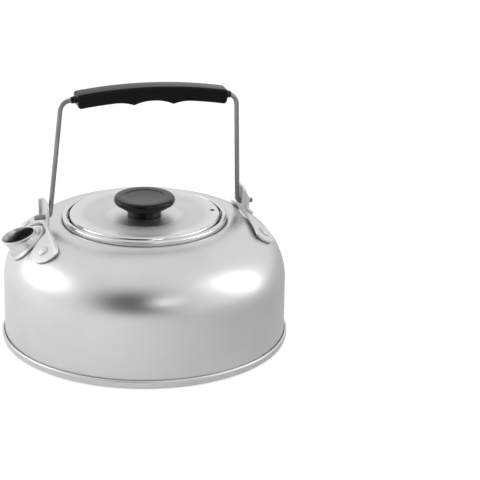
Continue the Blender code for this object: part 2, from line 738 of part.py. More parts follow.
def tube(name, path, radius, collection, caps=True):
    """Round tube along a path in the XZ plane, as a curve."""
    curve = bpy.data.curves.new(name, "CURVE")
    curve.dimensions = "3D"
    curve.bevel_depth = radius
    curve.bevel_resolution = WIRE_ROUND_STEPS
    curve.use_fill_caps = caps
    spline = curve.splines.new("POLY")
    spline.points.add(len(path) - 1)
    for slot, point in zip(spline.points, path):
        slot.co = (point[0], 0.0, point[1], 1.0)
    made = bpy.data.objects.new(name, curve)
    collection.objects.link(made)
    return made


def meshed(curve_object, name, finish, collection):
    """Replace a curve object by a mesh object with the same place."""
    mesh = mesh_of(curve_object)
    made = add_object(name, mesh, finish, collection)
    made.matrix_world = curve_object.matrix_world
    bpy.data.objects.remove(curve_object, do_unlink=True)
    mesh.shade_smooth()
    mesh.set_sharp_from_angle(angle=SHARP)
    return made


def grip_shares():
    """Shares of the bar where the grip starts and ends."""
    spout, rear = bail_corners()[1:]
    bar = math.hypot(rear[0] - spout[0], rear[1] - spout[1])
    middle = 0.5 + GRIP_SHIFT / bar
    half = GRIP_LENGTH / bar / 2
    return middle - half, middle + half


def rounded_corner(corner, along, down):
    """Quarter round at a corner of the grip, from the long side to the end face."""
    centre = corner + (along + down) * GRIP_CORNER
    points = []
    for i in range(BEND_STEPS + 1):
        angle = math.pi / 2 * i / BEND_STEPS
        points.append(centre - (down * math.cos(angle) + along * math.sin(angle)) * GRIP_CORNER)
    return points


def grip_end(share, inward):
    """Rounded upper and lower corners of one end of the grip."""
    point, up = bar_point(share)
    along = Vector((up.y, -up.x)) * inward
    high = rounded_corner(point + up * GRIP_ABOVE, along, -up)
    low = rounded_corner(point - up * GRIP_BELOW, along, up)
    return high, low


def grip_outline():
    """Side outline of the grip: arched top, rounded ends, underside with finger cusps."""
    start, end = grip_shares()
    top, under = [], []
    for i in range(1, GRIP_STEPS):
        point, up = bar_point(start + (end - start) * i / GRIP_STEPS)
        if i % 2:
            top.append(point + up * GRIP_ABOVE)
        bump = 0.0
        for place in CUSP_PLACES:
            near = max(0.0, 1 - abs(point.x - place) / CUSP_REACH)
            bump += CUSP_HEIGHT * near ** 2
        under.append(point - up * (GRIP_BELOW + bump))
    spout_high, spout_low = grip_end(start, 1)
    rear_high, rear_low = grip_end(end, -1)
    return spout_low + spout_high[::-1] + top + rear_high + rear_low[::-1] + under[::-1]


def make_grip(finish, collection, cutters):
    """Moulded grip over the bar, with the cutter that bores it for the sleeve."""
    curve = bpy.data.curves.new("grip", "CURVE")
    curve.dimensions = "2D"
    curve.fill_mode = "BOTH"
    curve.extrude = GRIP_WIDTH / 2
    outline = grip_outline()
    spline = curve.splines.new("POLY")
    spline.use_cyclic_u = True
    spline.points.add(len(outline) - 1)
    for slot, point in zip(spline.points, outline):
        slot.co = (point.x, point.y, 0.0, 1.0)
    flat = bpy.data.objects.new("grip_outline", curve)
    collection.objects.link(flat)
    flat.rotation_euler = (math.pi / 2, 0.0, 0.0)
    bpy.context.view_layer.update()
    made = meshed(flat, "grip", finish, collection)
    edge = made.modifiers.new("Edge", "BEVEL")
    edge.width = GRIP_EDGE
    edge.segments = 2
    edge.limit_method = "ANGLE"
    edge.angle_limit = math.radians(60.0)
    bore = tube("grip_bore_line", sleeve_path(SLEEVE_PROUD * 2), sleeve_radius() + GAP, cutters)
    bore = meshed(bore, "grip_bore", None, cutters)
    bore.hide_render = True
    bore.display_type = "WIRE"
    cut(made, bore)
    return made, bore


def sleeve_radius():
    return WIRE_RADIUS + GAP + SLEEVE_WALL


def sleeve_path(proud):
    """Stretch of the bail's own path under the grip, and a little beyond both its ends."""
    start, end = (bar_point(share)[0].x for share in grip_shares())
    start -= proud
    end += proud
    over_legs = PIVOT_HEIGHT + BAIL_RISE_REAR / 2
    top = [point for point in bail_path() if point.y > over_legs]
    stretch = []
    for before, after in zip(top, top[1:]):
        for limit in (start, end):
            if before.x < limit < after.x:
                stretch.append(before.lerp(after, (limit - before.x) / (after.x - before.x)))
        if start < after.x < end:
            stretch.append(after)
    return stretch


def make_sleeve(finish, collection):
    """Thin sleeve on the wire inside the grip, which shows at both ends."""
    middle = WIRE_RADIUS + GAP + SLEEVE_WALL / 2
    line = tube("sleeve_line", sleeve_path(SLEEVE_PROUD), middle, collection, caps=False)
    made = meshed(line, "grip_sleeve", finish, collection)
    give_wall(made, SLEEVE_WALL)
    return made


def basket_holes(cutters):
    """All holes of the basket as one cutter."""
    work = bmesh.new()
    through = BASKET_SHEET * 4
    wall = BASKET_RADIUS - BASKET_SHEET / 2
    top = basket_top()
    outwards = Matrix.Rotation(math.pi / 2, 4, "Y")
    for panel in range(HOLE_PANELS):
        middle = 2 * math.pi * (panel + 0.5) / HOLE_PANELS
        for column in range(HOLE_COLUMNS):
            turn = middle + (column - (HOLE_COLUMNS - 1) / 2) * COLUMN_TURN
            outer = column in (0, HOLE_COLUMNS - 1)
            for row in range(HOLE_ROWS):
                down = FIRST_ROW + ROW_PITCH * (row + (0.5 if outer else 0.0))
                place = Matrix.Rotation(turn, 4, "Z") @ Matrix.Translation((wall, 0.0, top - down))
                place_rod(work, HOLE_RADIUS, through, place @ outwards, HOLE_SIDES)
    for turn in (0.0, math.pi):
        place = Matrix.Rotation(turn, 4, "Z") @ Matrix.Translation((wall, 0.0, top - KEY_HOLE_DEPTH))
        place_rod(work, KEY_HOLE_RADIUS, through, place @ outwards, HOLE_SIDES * 2)
    floor = basket_floor() + BASKET_SHEET / 2
    for count, distance in FLOOR_HOLE_RINGS:
        for i in range(count):
            turn = Matrix.Rotation(2 * math.pi * (i + 0.5) / count, 4, "Z")
            place_rod(work, HOLE_RADIUS, through, turn @ Matrix.Translation((distance, 0.0, floor)),
                      HOLE_SIDES)
    mesh = bpy.data.meshes.new("basket_holes")
    work.to_mesh(mesh)
    work.free()
    return add_cutter("basket_holes", mesh, cutters)


def make_body(satin, bright, parts, cutters):
    """Shell with the spout's hole, base pan, mouth ring and spout."""
    body = turned("body_shell", body_line(), satin, parts, wall=SHEET)
    turned("base_pan", pan_line(), satin, parts, wall=PAN_SHEET)
    turned("mouth_ring", ring_line(), bright, parts, wall=RING_SHEET)
    make_spout(satin, parts)
    seat = shoulder_frame(SPOUT_SEAT, math.pi)
    cut(body, rod_cutter("spout_hole", SPOUT_NECK_RADIUS + GAP, THROUGH, seat, SPOUT_SIDES, cutters))
    return body


def make_brackets(body, stamped, parts, cutters):
    """Both brackets with their rivets, and the holes for the rivets and the bail."""
    near = (NEAR_SPREAD, NEAR_LOBE)
    far = (FAR_SPREAD, FAR_LOBE)
    brackets = {"spout": make_bracket("spout_bracket", math.pi, near, far, EAR_DROP_SPOUT,
                                      stamped, parts),
                "rear": make_bracket("rear_bracket", 0.0, far, near, EAR_DROP_REAR,
                                     stamped, parts)}
    for name, turn in rivet_places():
        frame = shoulder_frame(RIVET_SEAT, turn)
        rivet = turned(name, rivet_line(), stamped, parts, steps=SMALL_TURN_STEPS)
        rivet.matrix_world = frame
        hole = rod_cutter(name + "_hole", RIVET_RADIUS + GAP, THROUGH, frame, SMALL_TURN_STEPS,
                          cutters)
        cut(body, hole)
        cut(brackets[name.split("_")[1]], hole)
    pivot = Matrix.Translation((0.0, 0.0, PIVOT_HEIGHT)) @ Matrix.Rotation(math.pi / 2, 4, "Y")
    pivot_hole = rod_cutter("pivot_hole", WIRE_RADIUS + WIRE_PLAY, PLATE_REACH * 3, pivot,
                            SMALL_TURN_STEPS, cutters)
    for bracket in brackets.values():
        cut(bracket, pivot_hole)


def make_bail(steel, plastic, parts, cutters):
    """Wire bail with its sleeve and grip, hung on the line through both brackets."""
    wire = meshed(tube("bail_line", bail_path(), WIRE_RADIUS, parts), "bail_wire", steel, parts)
    sleeve = make_sleeve(plastic, parts)
    grip, bore = make_grip(plastic, parts, cutters)
    hang_on("bail_pivot", (0.0, 0.0, PIVOT_HEIGHT), (wire, sleeve, grip, bore), parts)


def make_lid(bright, plastic, brass, zinc, parts, cutters):
    """Lid with its knob, which a screw, a washer and a threaded insert hold on."""
    lid = turned("lid", lid_line(), bright, parts, wall=LID_SHEET)
    vent = Matrix.Rotation(VENT_TURN, 4, "Z") @ Matrix.Translation((VENT_DISTANCE, 0.0, LID_TOP))
    cut(lid, rod_cutter("vent_hole", VENT_RADIUS, LID_SHEET * 5, vent, VENT_SIDES, cutters))
    turned("knob", knob_line(), plastic, parts, steps=KNOB_STEPS)
    turned("knob_insert", insert_line(), brass, parts, steps=SMALL_TURN_STEPS, closed=True)
    turned("knob_washer", washer_line(), zinc, parts, steps=SMALL_TURN_STEPS, closed=True)
    turned("knob_screw", screw_line(), zinc, parts, steps=SMALL_TURN_STEPS)


def make_basket(satin, parts, cutters):
    basket = turned("infuser_basket", basket_line(), satin, parts, BASKET_STEPS, BASKET_SHEET)
    cut(basket, basket_holes(cutters))


def build():
    clear_scene()
    parts = new_collection("camping_kettle")
    cutters = new_collection("cutters")
    satin = new_material("satin_aluminium", (0.78, 0.78, 0.79), 0.34, 1.0)
    bright = new_material("bright_aluminium", (0.84, 0.84, 0.85), 0.2, 1.0)
    stamped = new_material("stamped_aluminium", (0.82, 0.82, 0.83), 0.45, 1.0)
    steel = new_material("bail_steel", (0.42, 0.42, 0.43), 0.38, 1.0)
    zinc = new_material("plated_steel", (0.6, 0.61, 0.62), 0.3, 1.0)
    brass = new_material("brass", (0.72, 0.53, 0.23), 0.35, 1.0)
    plastic = new_material("black_plastic", (0.018, 0.018, 0.019), 0.38, 0.0)

    body = make_body(satin, bright, parts, cutters)
    make_brackets(body, stamped, parts, cutters)
    make_bail(steel, plastic, parts, cutters)
    make_lid(bright, plastic, brass, zinc, parts, cutters)
    make_basket(satin, parts, cutters)


build()
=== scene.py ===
from math import acos, asin, cos, degrees, hypot, pi, radians, sin, sqrt, tan

import bmesh
import bpy
from mathutils import Matrix, Vector


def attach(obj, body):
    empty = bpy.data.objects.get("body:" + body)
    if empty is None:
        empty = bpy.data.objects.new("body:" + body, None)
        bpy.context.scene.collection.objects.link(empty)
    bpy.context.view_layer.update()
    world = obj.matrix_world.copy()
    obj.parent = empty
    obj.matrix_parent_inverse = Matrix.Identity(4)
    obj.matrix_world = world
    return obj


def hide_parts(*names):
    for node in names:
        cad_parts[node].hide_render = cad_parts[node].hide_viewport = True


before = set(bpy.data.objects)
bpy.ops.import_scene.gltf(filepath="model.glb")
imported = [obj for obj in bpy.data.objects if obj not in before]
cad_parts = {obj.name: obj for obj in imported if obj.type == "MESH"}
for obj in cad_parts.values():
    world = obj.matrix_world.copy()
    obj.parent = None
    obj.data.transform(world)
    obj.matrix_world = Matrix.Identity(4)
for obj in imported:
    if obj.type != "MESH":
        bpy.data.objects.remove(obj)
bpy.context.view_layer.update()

# Sizes in metres. Small trim apart, they are those of the solids
GAP = 0.0003
SHEET = 0.0007
WALL_RADIUS = 0.0746
WALL_HEIGHT = 0.0332
SHOULDER_RADIUS = 0.0325
SHOULDER_CENTRE = WALL_RADIUS - SHOULDER_RADIUS
CROWN_DIP = 0.0008
NECK_FILLET = 0.0010
FLARE = 0.0005
PAN_SHEET = 0.0006
PAN_HEIGHT = 0.0047
PAN_BEND = 0.0014
PAN_ROLL = 0.0006
ROLL_HEIGHT = 0.0021         # rolled part of the pan's rim, which stands proud
ROLL_PROUD = 0.0003
RING_SHEET = 0.0006
LIP_CLEARANCE = 0.0005       # between the ring's lip and the basket
LEDGE_FILLET = 0.0008
LEDGE_LIP = 0.0016
LID_RADIUS = 0.0401
LID_SHEET = 0.0006
LID_EDGE_ROUND = 0.0008
LID_EDGE_FALL = 0.0009       # sloping part of the lid's edge, under its round
LID_EDGE_LEAN = radians(22.0)
LID_PLATEAU = 0.0188         # radius of the lid's polished middle
DISH_RADIUS = 0.0310
DISH_DEPTH = 0.0011
DISH_SLOPE = 0.0040
VENT_RADIUS = 0.0013
VENT_DISTANCE = 0.0359
VENT_TURN = radians(-9.0)
COLLAR_RADIUS = 0.04105
NECK_RADIUS = 0.0420
CURL_RADIUS = 0.04295
CROWN_RADIUS = 0.04765
CROWN_ANGLE = acos((CROWN_RADIUS - SHOULDER_CENTRE) / SHOULDER_RADIUS)
CROWN_BLEND = radians(83.0)  # where the crown round the mouth joins the shoulder
CROWN_TOP = WALL_HEIGHT + SHOULDER_RADIUS * sin(CROWN_ANGLE)
RING_TOP = CROWN_TOP + 0.0026
LEDGE_TOP = RING_TOP - 0.0054
LID_TOP = LEDGE_TOP + GAP + 0.0056
DISH_TOP = LID_TOP - DISH_DEPTH
KNOB_FOOT = DISH_TOP + GAP
KNOB_RADIUS = 0.0162
KNOB_HEIGHT = 0.0098
KNOB_TOP_RADIUS = 0.0146
KNOB_BRIM_DROP = 0.0020
KNOB_DISC_RADIUS = 0.0104
KNOB_DISC_STEP = 0.0003
KNOB_STEM_RADIUS = 0.0090
KNOB_STEM_HEIGHT = 0.0031
KNOB_RIBS = 3
RIB_FACE = (0.8, 0.25)       # outer and inner end of a rib's flat, as shares of its run
RIB_LIFT = 0.12              # rise of that flat, as a share of the rib's fall
KNOB_EDGE = 0.00018
INSERT_RADIUS = 0.0029
INSERT_LENGTH = 0.0056
SCREW_RADIUS = 0.0015
SCREW_HEAD_RADIUS = 0.0029
SCREW_HEAD_HEIGHT = 0.0019
SCREW_LENGTH = 0.0074
THREAD_START = 0.0006
THREAD_PITCH = 0.0005
THREAD_DEPTH = 0.00022
RECESS_SLOT = (0.0034, 0.0006, 0.0022)
WASHER_RADIUS = 0.0040
WASHER_THICKNESS = 0.0006
WASHER_EDGE = 0.00015
BASKET_RADIUS = 0.0347
BASKET_SHEET = 0.0007
BASKET_HEIGHT = 0.0380
BASKET_CORNER = 0.0060
BASKET_CURL = 0.0023
CURL_END = radians(35.0)
HOLE_RADIUS = 0.0010
HOLE_PANELS = 4
HOLE_COLUMNS = 4
HOLE_ROWS = 5
COLUMN_TURN = radians(10.6)
ROW_PITCH = 0.0060
FIRST_ROW = 0.0062
KEY_HOLE_RADIUS = 0.0026
KEY_HOLE_DEPTH = 0.0082
FLOOR_HOLE_RINGS = ((4, 0.0075), (8, 0.0165))
PLATE_REACH = 0.0524
RIVET_REACH = 0.0098         # from the plate out to the rivets
SPOUT_SET = 0.0112           # and to the middle of the spout's root
SPOUT_SHEET = 0.0008
SPOUT_NECK_RADIUS = 0.0092
SPOUT_MOUTH_RADIUS = 0.0093
SPOUT_FLANGE_RADIUS = 0.0116
SPOUT_REACH = 0.0043
SPOUT_RISE = 0.0042
SPOUT_LEAN = radians(17.0)
SPOUT_CLINCH = 0.0014
SPOUT_WAIST = 0.0004
SPOUT_ROOT = 0.0008          # fillet between the spout and its flange
SPOUT_BEAD = 0.0006          # rise of the rolled bead round the flange
BRACKET_SHEET = 0.0012
PLATE_HALF = 0.0070
PLATE_RISE = 0.0088
PLATE_CORNER = 0.0032
PIVOT_HEIGHT = 0.0701247
ARM_DROP = 0.0034
EAR_WIDTH = 0.0024
EAR_LOW = 0.0026
EAR_DROP_SPOUT = 0.0010
EAR_DROP_REAR = 0.0048
EAR_ROOT = 0.0009
EAR_SLACK = 0.0002
EAR_BEND = 0.0009            # radius of the fold between plate and ear
ARM_SPREAD = 0.0030
ARM_FALL = 0.0008
CROTCH_SPREAD = 0.0035
CROTCH_INSET = 0.0020
FOOT_GAP = 0.0009
NEAR_ARM = (0.0215, 0.0079)  # spread of the rivet and radius of the arm's round end
FAR_ARM = (0.0184, 0.0062)
LOBE_SHIFT = 0.0009
LOBE_ARC = (75, -150)
FOLD_SOFTNESS = 0.0008
BLANK_HALF = 0.0315          # half the width of the flat blank, and its lowest slice
BLANK_FOOT = 0.0535
BLANK_STEP = 0.0009
BRACKET_EDGE = 0.00022
BRACKET_CORNER = radians(55.0)
RIVET_RADIUS = 0.0015
RIVET_HEAD_RADIUS = 0.0030
RIVET_HEAD_HEIGHT = 0.0012
RIVET_TAIL_RADIUS = 0.0036
RIVET_TAIL_HEIGHT = 0.0009
RIVET_EDGE = 0.0001
WIRE_RADIUS = 0.00125
WIRE_TIP = 0.0067
WIRE_CLEARANCE = 0.00035     # between the wire and the bracket's plate
TIP_CHAMFER = 0.0003
TIP_SHARE = 0.78             # radius of the wire's very end, as a share
FOOT_BEND = 0.0024
TOP_BEND = 0.0056
BAIL_RISE_SPOUT = 0.0616
BAIL_RISE_REAR = 0.0587
LEAN_SPOUT = 0.0067
LEAN_REAR = 0.0013
BAR_ARCH = 0.0045
GRIP_LENGTH = 0.0799
GRIP_SHIFT = 0.0009
GRIP_WIDTH = 0.0106
GRIP_ABOVE = 0.00326
GRIP_BELOW = 0.0043
GRIP_CORNER = 0.0016
GRIP_EDGE = 0.0012
FLANK_SHARE = 0.8            # of its ends' rounding, which its flanks follow
CUSP_HEIGHT = 0.0019
CUSP_REACH = 0.0100
CUSP_PLACES = (-0.0065, 0.0149)
SLEEVE_RADIUS = 0.00195
SLEEVE_PROUD = 0.0026
SLEEVE_TAPER = 0.0003
TAPER_REACH = 0.0022

TURN_STEPS = 180
SPOUT_STEPS = 72
SHARP = radians(42.0)
NEARLY_STRAIGHT = radians(150.0)
CORNER_SHARE = 0.45          # most that a rounded corner takes of each of its sides
END_SHARE = 0.8              # most that a rounded free end takes of its last stretch
MITRE_LIMIT = 0.5
ON_AXIS = 1e-9               # a point nearer to the axis is on it
SIDEWAYS = Vector((0.0, 1.0, 0.0))
OUTWARDS = Matrix.Rotation(pi / 2, 4, "Y")
DRILL = 0.010                # length of a hole's cutter through a curved sheet
PUNCH = 0.004                # through a flat or plain round one
LONG_DRILL = 0.2             # and from side to side of the kettle


# Shapes

def shoulder_height(radius, bend=SHOULDER_RADIUS):
    return WALL_HEIGHT + sqrt(bend ** 2 - (radius - SHOULDER_CENTRE) ** 2)


def shoulder_rise(radius):
    return acos((radius - SHOULDER_CENTRE) / SHOULDER_RADIUS)


RIVET_SEAT = shoulder_rise(PLATE_REACH + RIVET_REACH)
SPOUT_SEAT = shoulder_rise(PLATE_REACH + SPOUT_SET)


def ellipse(centre, half_width, half_height, start, end, steps):
    angles = [radians(start + (end - start) * i / steps) for i in range(steps + 1)]
    return [(centre[0] + half_width * cos(angle), centre[1] + half_height * sin(angle))
            for angle in angles]


def arc(centre, radius, start, end, steps):
    return ellipse(centre, radius, radius, start, end, steps)


def full_turn(steps):
    return [2 * pi * i / steps for i in range(steps)]


def straight(start, end, steps):
    """Points between two points, without the two themselves."""
    return [[a + (b - a) * i / steps for a, b in zip(start, end)] for i in range(1, steps)]


def bezier(start, control, end, steps):
    points = []
    for i in range(steps + 1):
        t = i / steps
        a, b, c = (1 - t) ** 2, 2 * t * (1 - t), t * t
        points.append([a * p + b * q + c * r for p, q, r in zip(start, control, end)])
    return points


def softened(line, radius, steps=4):
    """A profile with its corners rounded."""
    soft = [line[0]]
    for before, corner, after in zip(line, line[1:], line[2:]):
        to_before = Vector(before) - Vector(corner)
        to_after = Vector(after) - Vector(corner)
        if to_before.angle(to_after) > NEARLY_STRAIGHT:
            soft.append(corner)
            continue
        first, last = [Vector(corner) + way.normalized() * min(radius, way.length * CORNER_SHARE)
                       for way in (to_before, to_after)]
        soft += bezier(first, corner, last, steps)
    soft.append(line[-1])
    return soft


def sheet_outline(line, wall):
    """Closed outline of a sheet about its middle line, with its free edges rounded."""
    half = wall / 2
    line = [Vector(point) for point in line]
    for end, before in ((0, 1), (-1, -2)):
        if line[end].x > ON_AXIS:
            back = line[before] - line[end]
            line[end] += back.normalized() * min(half, back.length * END_SHARE)
    sides = ([], [])
    normals = []
    for i, point in enumerate(line):
        ways = []
        for a, b in ((i - 1, i), (i, i + 1)):
            if a >= 0 and b < len(line):
                ways.append((line[b] - line[a]).normalized())
        way = (ways[0] + ways[-1]).normalized()
        normal = Vector((-way.y, way.x))
        reach = half / max(way.dot(ways[0]), MITRE_LIMIT)
        normals.append(normal)
        for side, sign in zip(sides, (1, -1)):
            side.append((point[0] + normal.x * reach * sign, point[1] + normal.y * reach * sign))
    caps = []
    for place, sign in ((-1, 1), (0, -1)):
        cap = []
        if line[place].x > ON_AXIS:
            normal = normals[place] * sign
            out = Vector((normal.y, -normal.x))
            for i in range(1, 6):
                angle = pi * i / 6
                cap.append(line[place] + (normal * cos(angle) + out * sin(angle)) * half)
        caps.append(cap)
    return sides[0] + caps[0] + sides[1][::-1] + caps[1]


def new_piece(name, mesh):
    made = bpy.data.objects.new(name, mesh)
    bpy.context.scene.collection.objects.link(made)
    return made


def shade(mesh):
    mesh.shade_smooth()
    mesh.set_sharp_from_angle(angle=SHARP)
    return mesh


def finish_mesh(name, work):
    bmesh.ops.recalc_face_normals(work, faces=work.faces)
    mesh = bpy.data.meshes.new(name)
    work.to_mesh(mesh)
    work.free()
    return shade(mesh)


def join_rows(work, rows, closed=True):
    """Faces between rows of points, and back from the last row to the first if closed."""
    for row, after in zip(rows, rows[1:] + (rows[:1] if closed else [])):
        for i in range(len(row)):
            k = (i + 1) % len(row)
            corners = list(dict.fromkeys((row[i], row[k], after[k], after[i])))
            if len(corners) > 2:
                work.faces.new(corners)


def spun(name, outline, steps=TURN_STEPS):
    """Turn a closed outline of (radius, height) points about Z."""
    work = bmesh.new()
    rows = []
    for radius, height in outline:
        if radius < ON_AXIS:
            rows.append([work.verts.new((0.0, 0.0, height))] * steps)
            continue
        rows.append([work.verts.new((radius * cos(angle), radius * sin(angle), height))
                     for angle in full_turn(steps)])
    join_rows(work, rows)
    return new_piece(name, finish_mesh(name, work))


def lofted(name, rings, closed=False):
    """Skin through rings of points. An open row of rings gets a cap at each end."""
    work = bmesh.new()
    rows = [[work.verts.new(point) for point in ring] for ring in rings]
    join_rows(work, rows, closed)
    if not closed:
        work.faces.new(rows[0])
        work.faces.new(rows[-1])
    return new_piece(name, finish_mesh(name, work))


def at(turn, radius, height):
    """Place at a turn round the axis and a distance from it."""
    return Matrix.Rotation(turn, 4, "Z") @ Matrix.Translation((radius, 0.0, height))


def rod(work, radius, length, place, sides=24):
    bmesh.ops.create_cone(work, cap_ends=True, segments=sides, radius1=radius, radius2=radius,
                          depth=length, matrix=place)


def settle(made):
    """Apply the modifiers of a piece and shade the result."""
    changed = made.evaluated_get(bpy.context.evaluated_depsgraph_get())
    mesh = bpy.data.meshes.new_from_object(changed)
    made.modifiers.clear()
    made.data = shade(mesh)
    return made


def cut_out(made, work):
    """Cut a piece by the closed forms in a bmesh."""
    mesh = bpy.data.meshes.new("cutter")
    work.to_mesh(mesh)
    work.free()
    cutter = new_piece("cutter", mesh)
    step = made.modifiers.new("Cut", "BOOLEAN")
    step.operation = "DIFFERENCE"
    step.solver = "EXACT"
    step.object = cutter
    bpy.context.view_layer.update()
    settle(made)
    bpy.data.objects.remove(cutter, do_unlink=True)
    return made


def direction(rise, turn):
    return Vector((cos(rise) * cos(turn), cos(rise) * sin(turn), sin(rise)))


def on_shoulder(rise, turn, height):
    reach = SHOULDER_RADIUS + height
    radius = SHOULDER_CENTRE + reach * cos(rise)
    return Vector((radius * cos(turn), radius * sin(turn),
                   WALL_HEIGHT + reach * sin(rise)))


def shoulder_frame(rise, turn):
    up = direction(rise, turn)
    side = Vector((-sin(turn), cos(turn), 0.0))
    place = Matrix((side.cross(up), side, up)).transposed().to_4x4()
    place.translation = on_shoulder(rise, turn, 0.0)
    return place


def rivet_turns():
    radius = SHOULDER_CENTRE + SHOULDER_RADIUS * cos(RIVET_SEAT)
    near = asin(NEAR_ARM[0] / radius)
    far = asin(FAR_ARM[0] / radius)
    return {"spout_near": pi + near, "spout_far": pi - far,
            "rear_near": -near, "rear_far": far}


def drill_for_rivets(work):
    for turn in rivet_turns().values():
        rod(work, RIVET_RADIUS + GAP, DRILL, shoulder_frame(RIVET_SEAT, turn), 32)


def make_body():
    """Spun body with the holes for the spout and the rivets."""
    middle = SHOULDER_RADIUS - SHEET / 2
    gutter = WALL_HEIGHT + middle * sin(CROWN_ANGLE) - CROWN_DIP
    start = NECK_RADIUS + NECK_FILLET
    line = [(NECK_RADIUS, RING_TOP - RING_SHEET - GAP)]
    line += arc((start, gutter + NECK_FILLET), NECK_FILLET, 180, 270, 8)
    blend_end = SHOULDER_CENTRE + middle * cos(CROWN_BLEND)
    for i in range(1, 16):
        radius = start + (blend_end - start) * i / 16
        dip = (WALL_HEIGHT + middle - gutter) * (1 - i / 16) ** 2
        line.append((radius, shoulder_height(radius, middle) - dip))
    line += arc((SHOULDER_CENTRE, WALL_HEIGHT), middle, degrees(CROWN_BLEND), 0, 48)
    foot = PAN_SHEET + GAP + SHEET
    wall = WALL_RADIUS - SHEET / 2
    line += straight((wall, WALL_HEIGHT), (wall, foot + FLARE * 2), 12)
    line += [(wall, foot + FLARE * 2), (wall + FLARE, foot)]
    body = spun("kettle_body", sheet_outline(line, SHEET))
    work = bmesh.new()
    rod(work, SPOUT_NECK_RADIUS + GAP, DRILL, shoulder_frame(SPOUT_SEAT, pi), 64)
    drill_for_rivets(work)
    return cut_out(body, work)


def make_pan():
    """Base pan with its rolled rim."""
    floor = PAN_SHEET / 2
    rim = WALL_RADIUS + FLARE + GAP + PAN_SHEET / 2
    low = rim - ROLL_PROUD
    top = PAN_HEIGHT - PAN_SHEET / 2 - PAN_ROLL
    line = [(0.0, floor)] + straight((0.0, floor), (low - PAN_BEND, floor), 8)
    line += arc((low - PAN_BEND, floor + PAN_BEND), PAN_BEND, 270, 360, 8)
    step = PAN_HEIGHT - ROLL_HEIGHT
    line += bezier((low, step - ROLL_PROUD), (low, step), (rim, step + ROLL_PROUD), 4)
    line += arc((rim - PAN_ROLL, top), PAN_ROLL, 0, 90, 8)
    return spun("kettle_base", sheet_outline(line, PAN_SHEET))


def make_ring():
    """Mouth ring: lip and ledge for the lid, collar and rolled bead."""
    lip = BASKET_RADIUS + LIP_CLEARANCE + RING_SHEET / 2
    ledge = LEDGE_TOP - RING_SHEET / 2
    bead = (CURL_RADIUS - COLLAR_RADIUS) / 2
    centre = (COLLAR_RADIUS + bead, RING_TOP - RING_SHEET / 2 - bead)
    line = [(lip, ledge - LEDGE_LIP)]
    line += arc((lip + LEDGE_FILLET, ledge - LEDGE_FILLET), LEDGE_FILLET, 180, 90, 6)
    line += arc((COLLAR_RADIUS - LEDGE_FILLET, ledge + LEDGE_FILLET), LEDGE_FILLET, 270, 360, 6)
    line += arc(centre, bead, 180, 0, 16)
    line.append((CURL_RADIUS, CROWN_TOP - CROWN_DIP + GAP * 2))
    return spun("mouth_rim", sheet_outline(line, RING_SHEET))


def make_lid():
    """Lid with its dish, its turned-down edge and the vent."""
    top = LID_TOP - LID_SHEET / 2
    dish = DISH_TOP - LID_SHEET / 2
    rim = LID_RADIUS - LID_SHEET / 2 - GAP
    line = [(SCREW_RADIUS + GAP, dish)]
    line += straight(line[0], (DISH_RADIUS - DISH_SLOPE / 2, dish), 10)
    for i in range(13):
        share = i / 12
        line.append((DISH_RADIUS + DISH_SLOPE * (share - 0.5),
                     dish + DISH_DEPTH * share ** 2 * (3 - 2 * share)))
    lean = LID_EDGE_LEAN
    bend = rim - LID_EDGE_FALL * sin(lean) - LID_EDGE_ROUND * cos(lean)
    line += straight(line[-1], (bend, top), 8)
    line += arc((bend, top - LID_EDGE_ROUND), LID_EDGE_ROUND, 90, degrees(lean), 12)
    line += [(rim, line[-1][1] - LID_EDGE_FALL * cos(lean)), (rim, LEDGE_TOP + GAP)]
    lid = spun("lid_sheet", sheet_outline(line, LID_SHEET))
    work = bmesh.new()
    rod(work, VENT_RADIUS, PUNCH, at(VENT_TURN, VENT_DISTANCE, LID_TOP))
    return cut_out(lid, work)


def make_knob():
    """Knob with its flat disc, rounded brim, ribbed underside and stem."""
    top = KNOB_FOOT + KNOB_HEIGHT
    brim = top - KNOB_BRIM_DROP
    bore = INSERT_RADIUS + GAP
    bore_end = KNOB_FOOT + GAP * 2 + INSERT_LENGTH
    line = [(0.0, top - KNOB_DISC_STEP), (KNOB_DISC_RADIUS, top - KNOB_DISC_STEP),
            (KNOB_DISC_RADIUS + KNOB_DISC_STEP, top)]
    line += ellipse((KNOB_TOP_RADIUS, brim), KNOB_RADIUS - KNOB_TOP_RADIUS, KNOB_BRIM_DROP,
                    90, 0, 10)
    run = (KNOB_RADIUS - KNOB_STEM_RADIUS) / KNOB_RIBS
    fall = (brim - KNOB_FOOT - KNOB_STEM_HEIGHT) / KNOB_RIBS
    for i in range(1, KNOB_RIBS + 1):
        inner = KNOB_RADIUS - run * i
        low = brim - fall * i
        line += [(inner + run * share, low + fall * RIB_LIFT) for share in RIB_FACE]
        line.append((inner, low))
    line += [(KNOB_STEM_RADIUS, KNOB_FOOT), (bore, KNOB_FOOT), (bore, bore_end), (0.0, bore_end)]
    return spun("lid_knob", softened(line, KNOB_EDGE), 120)


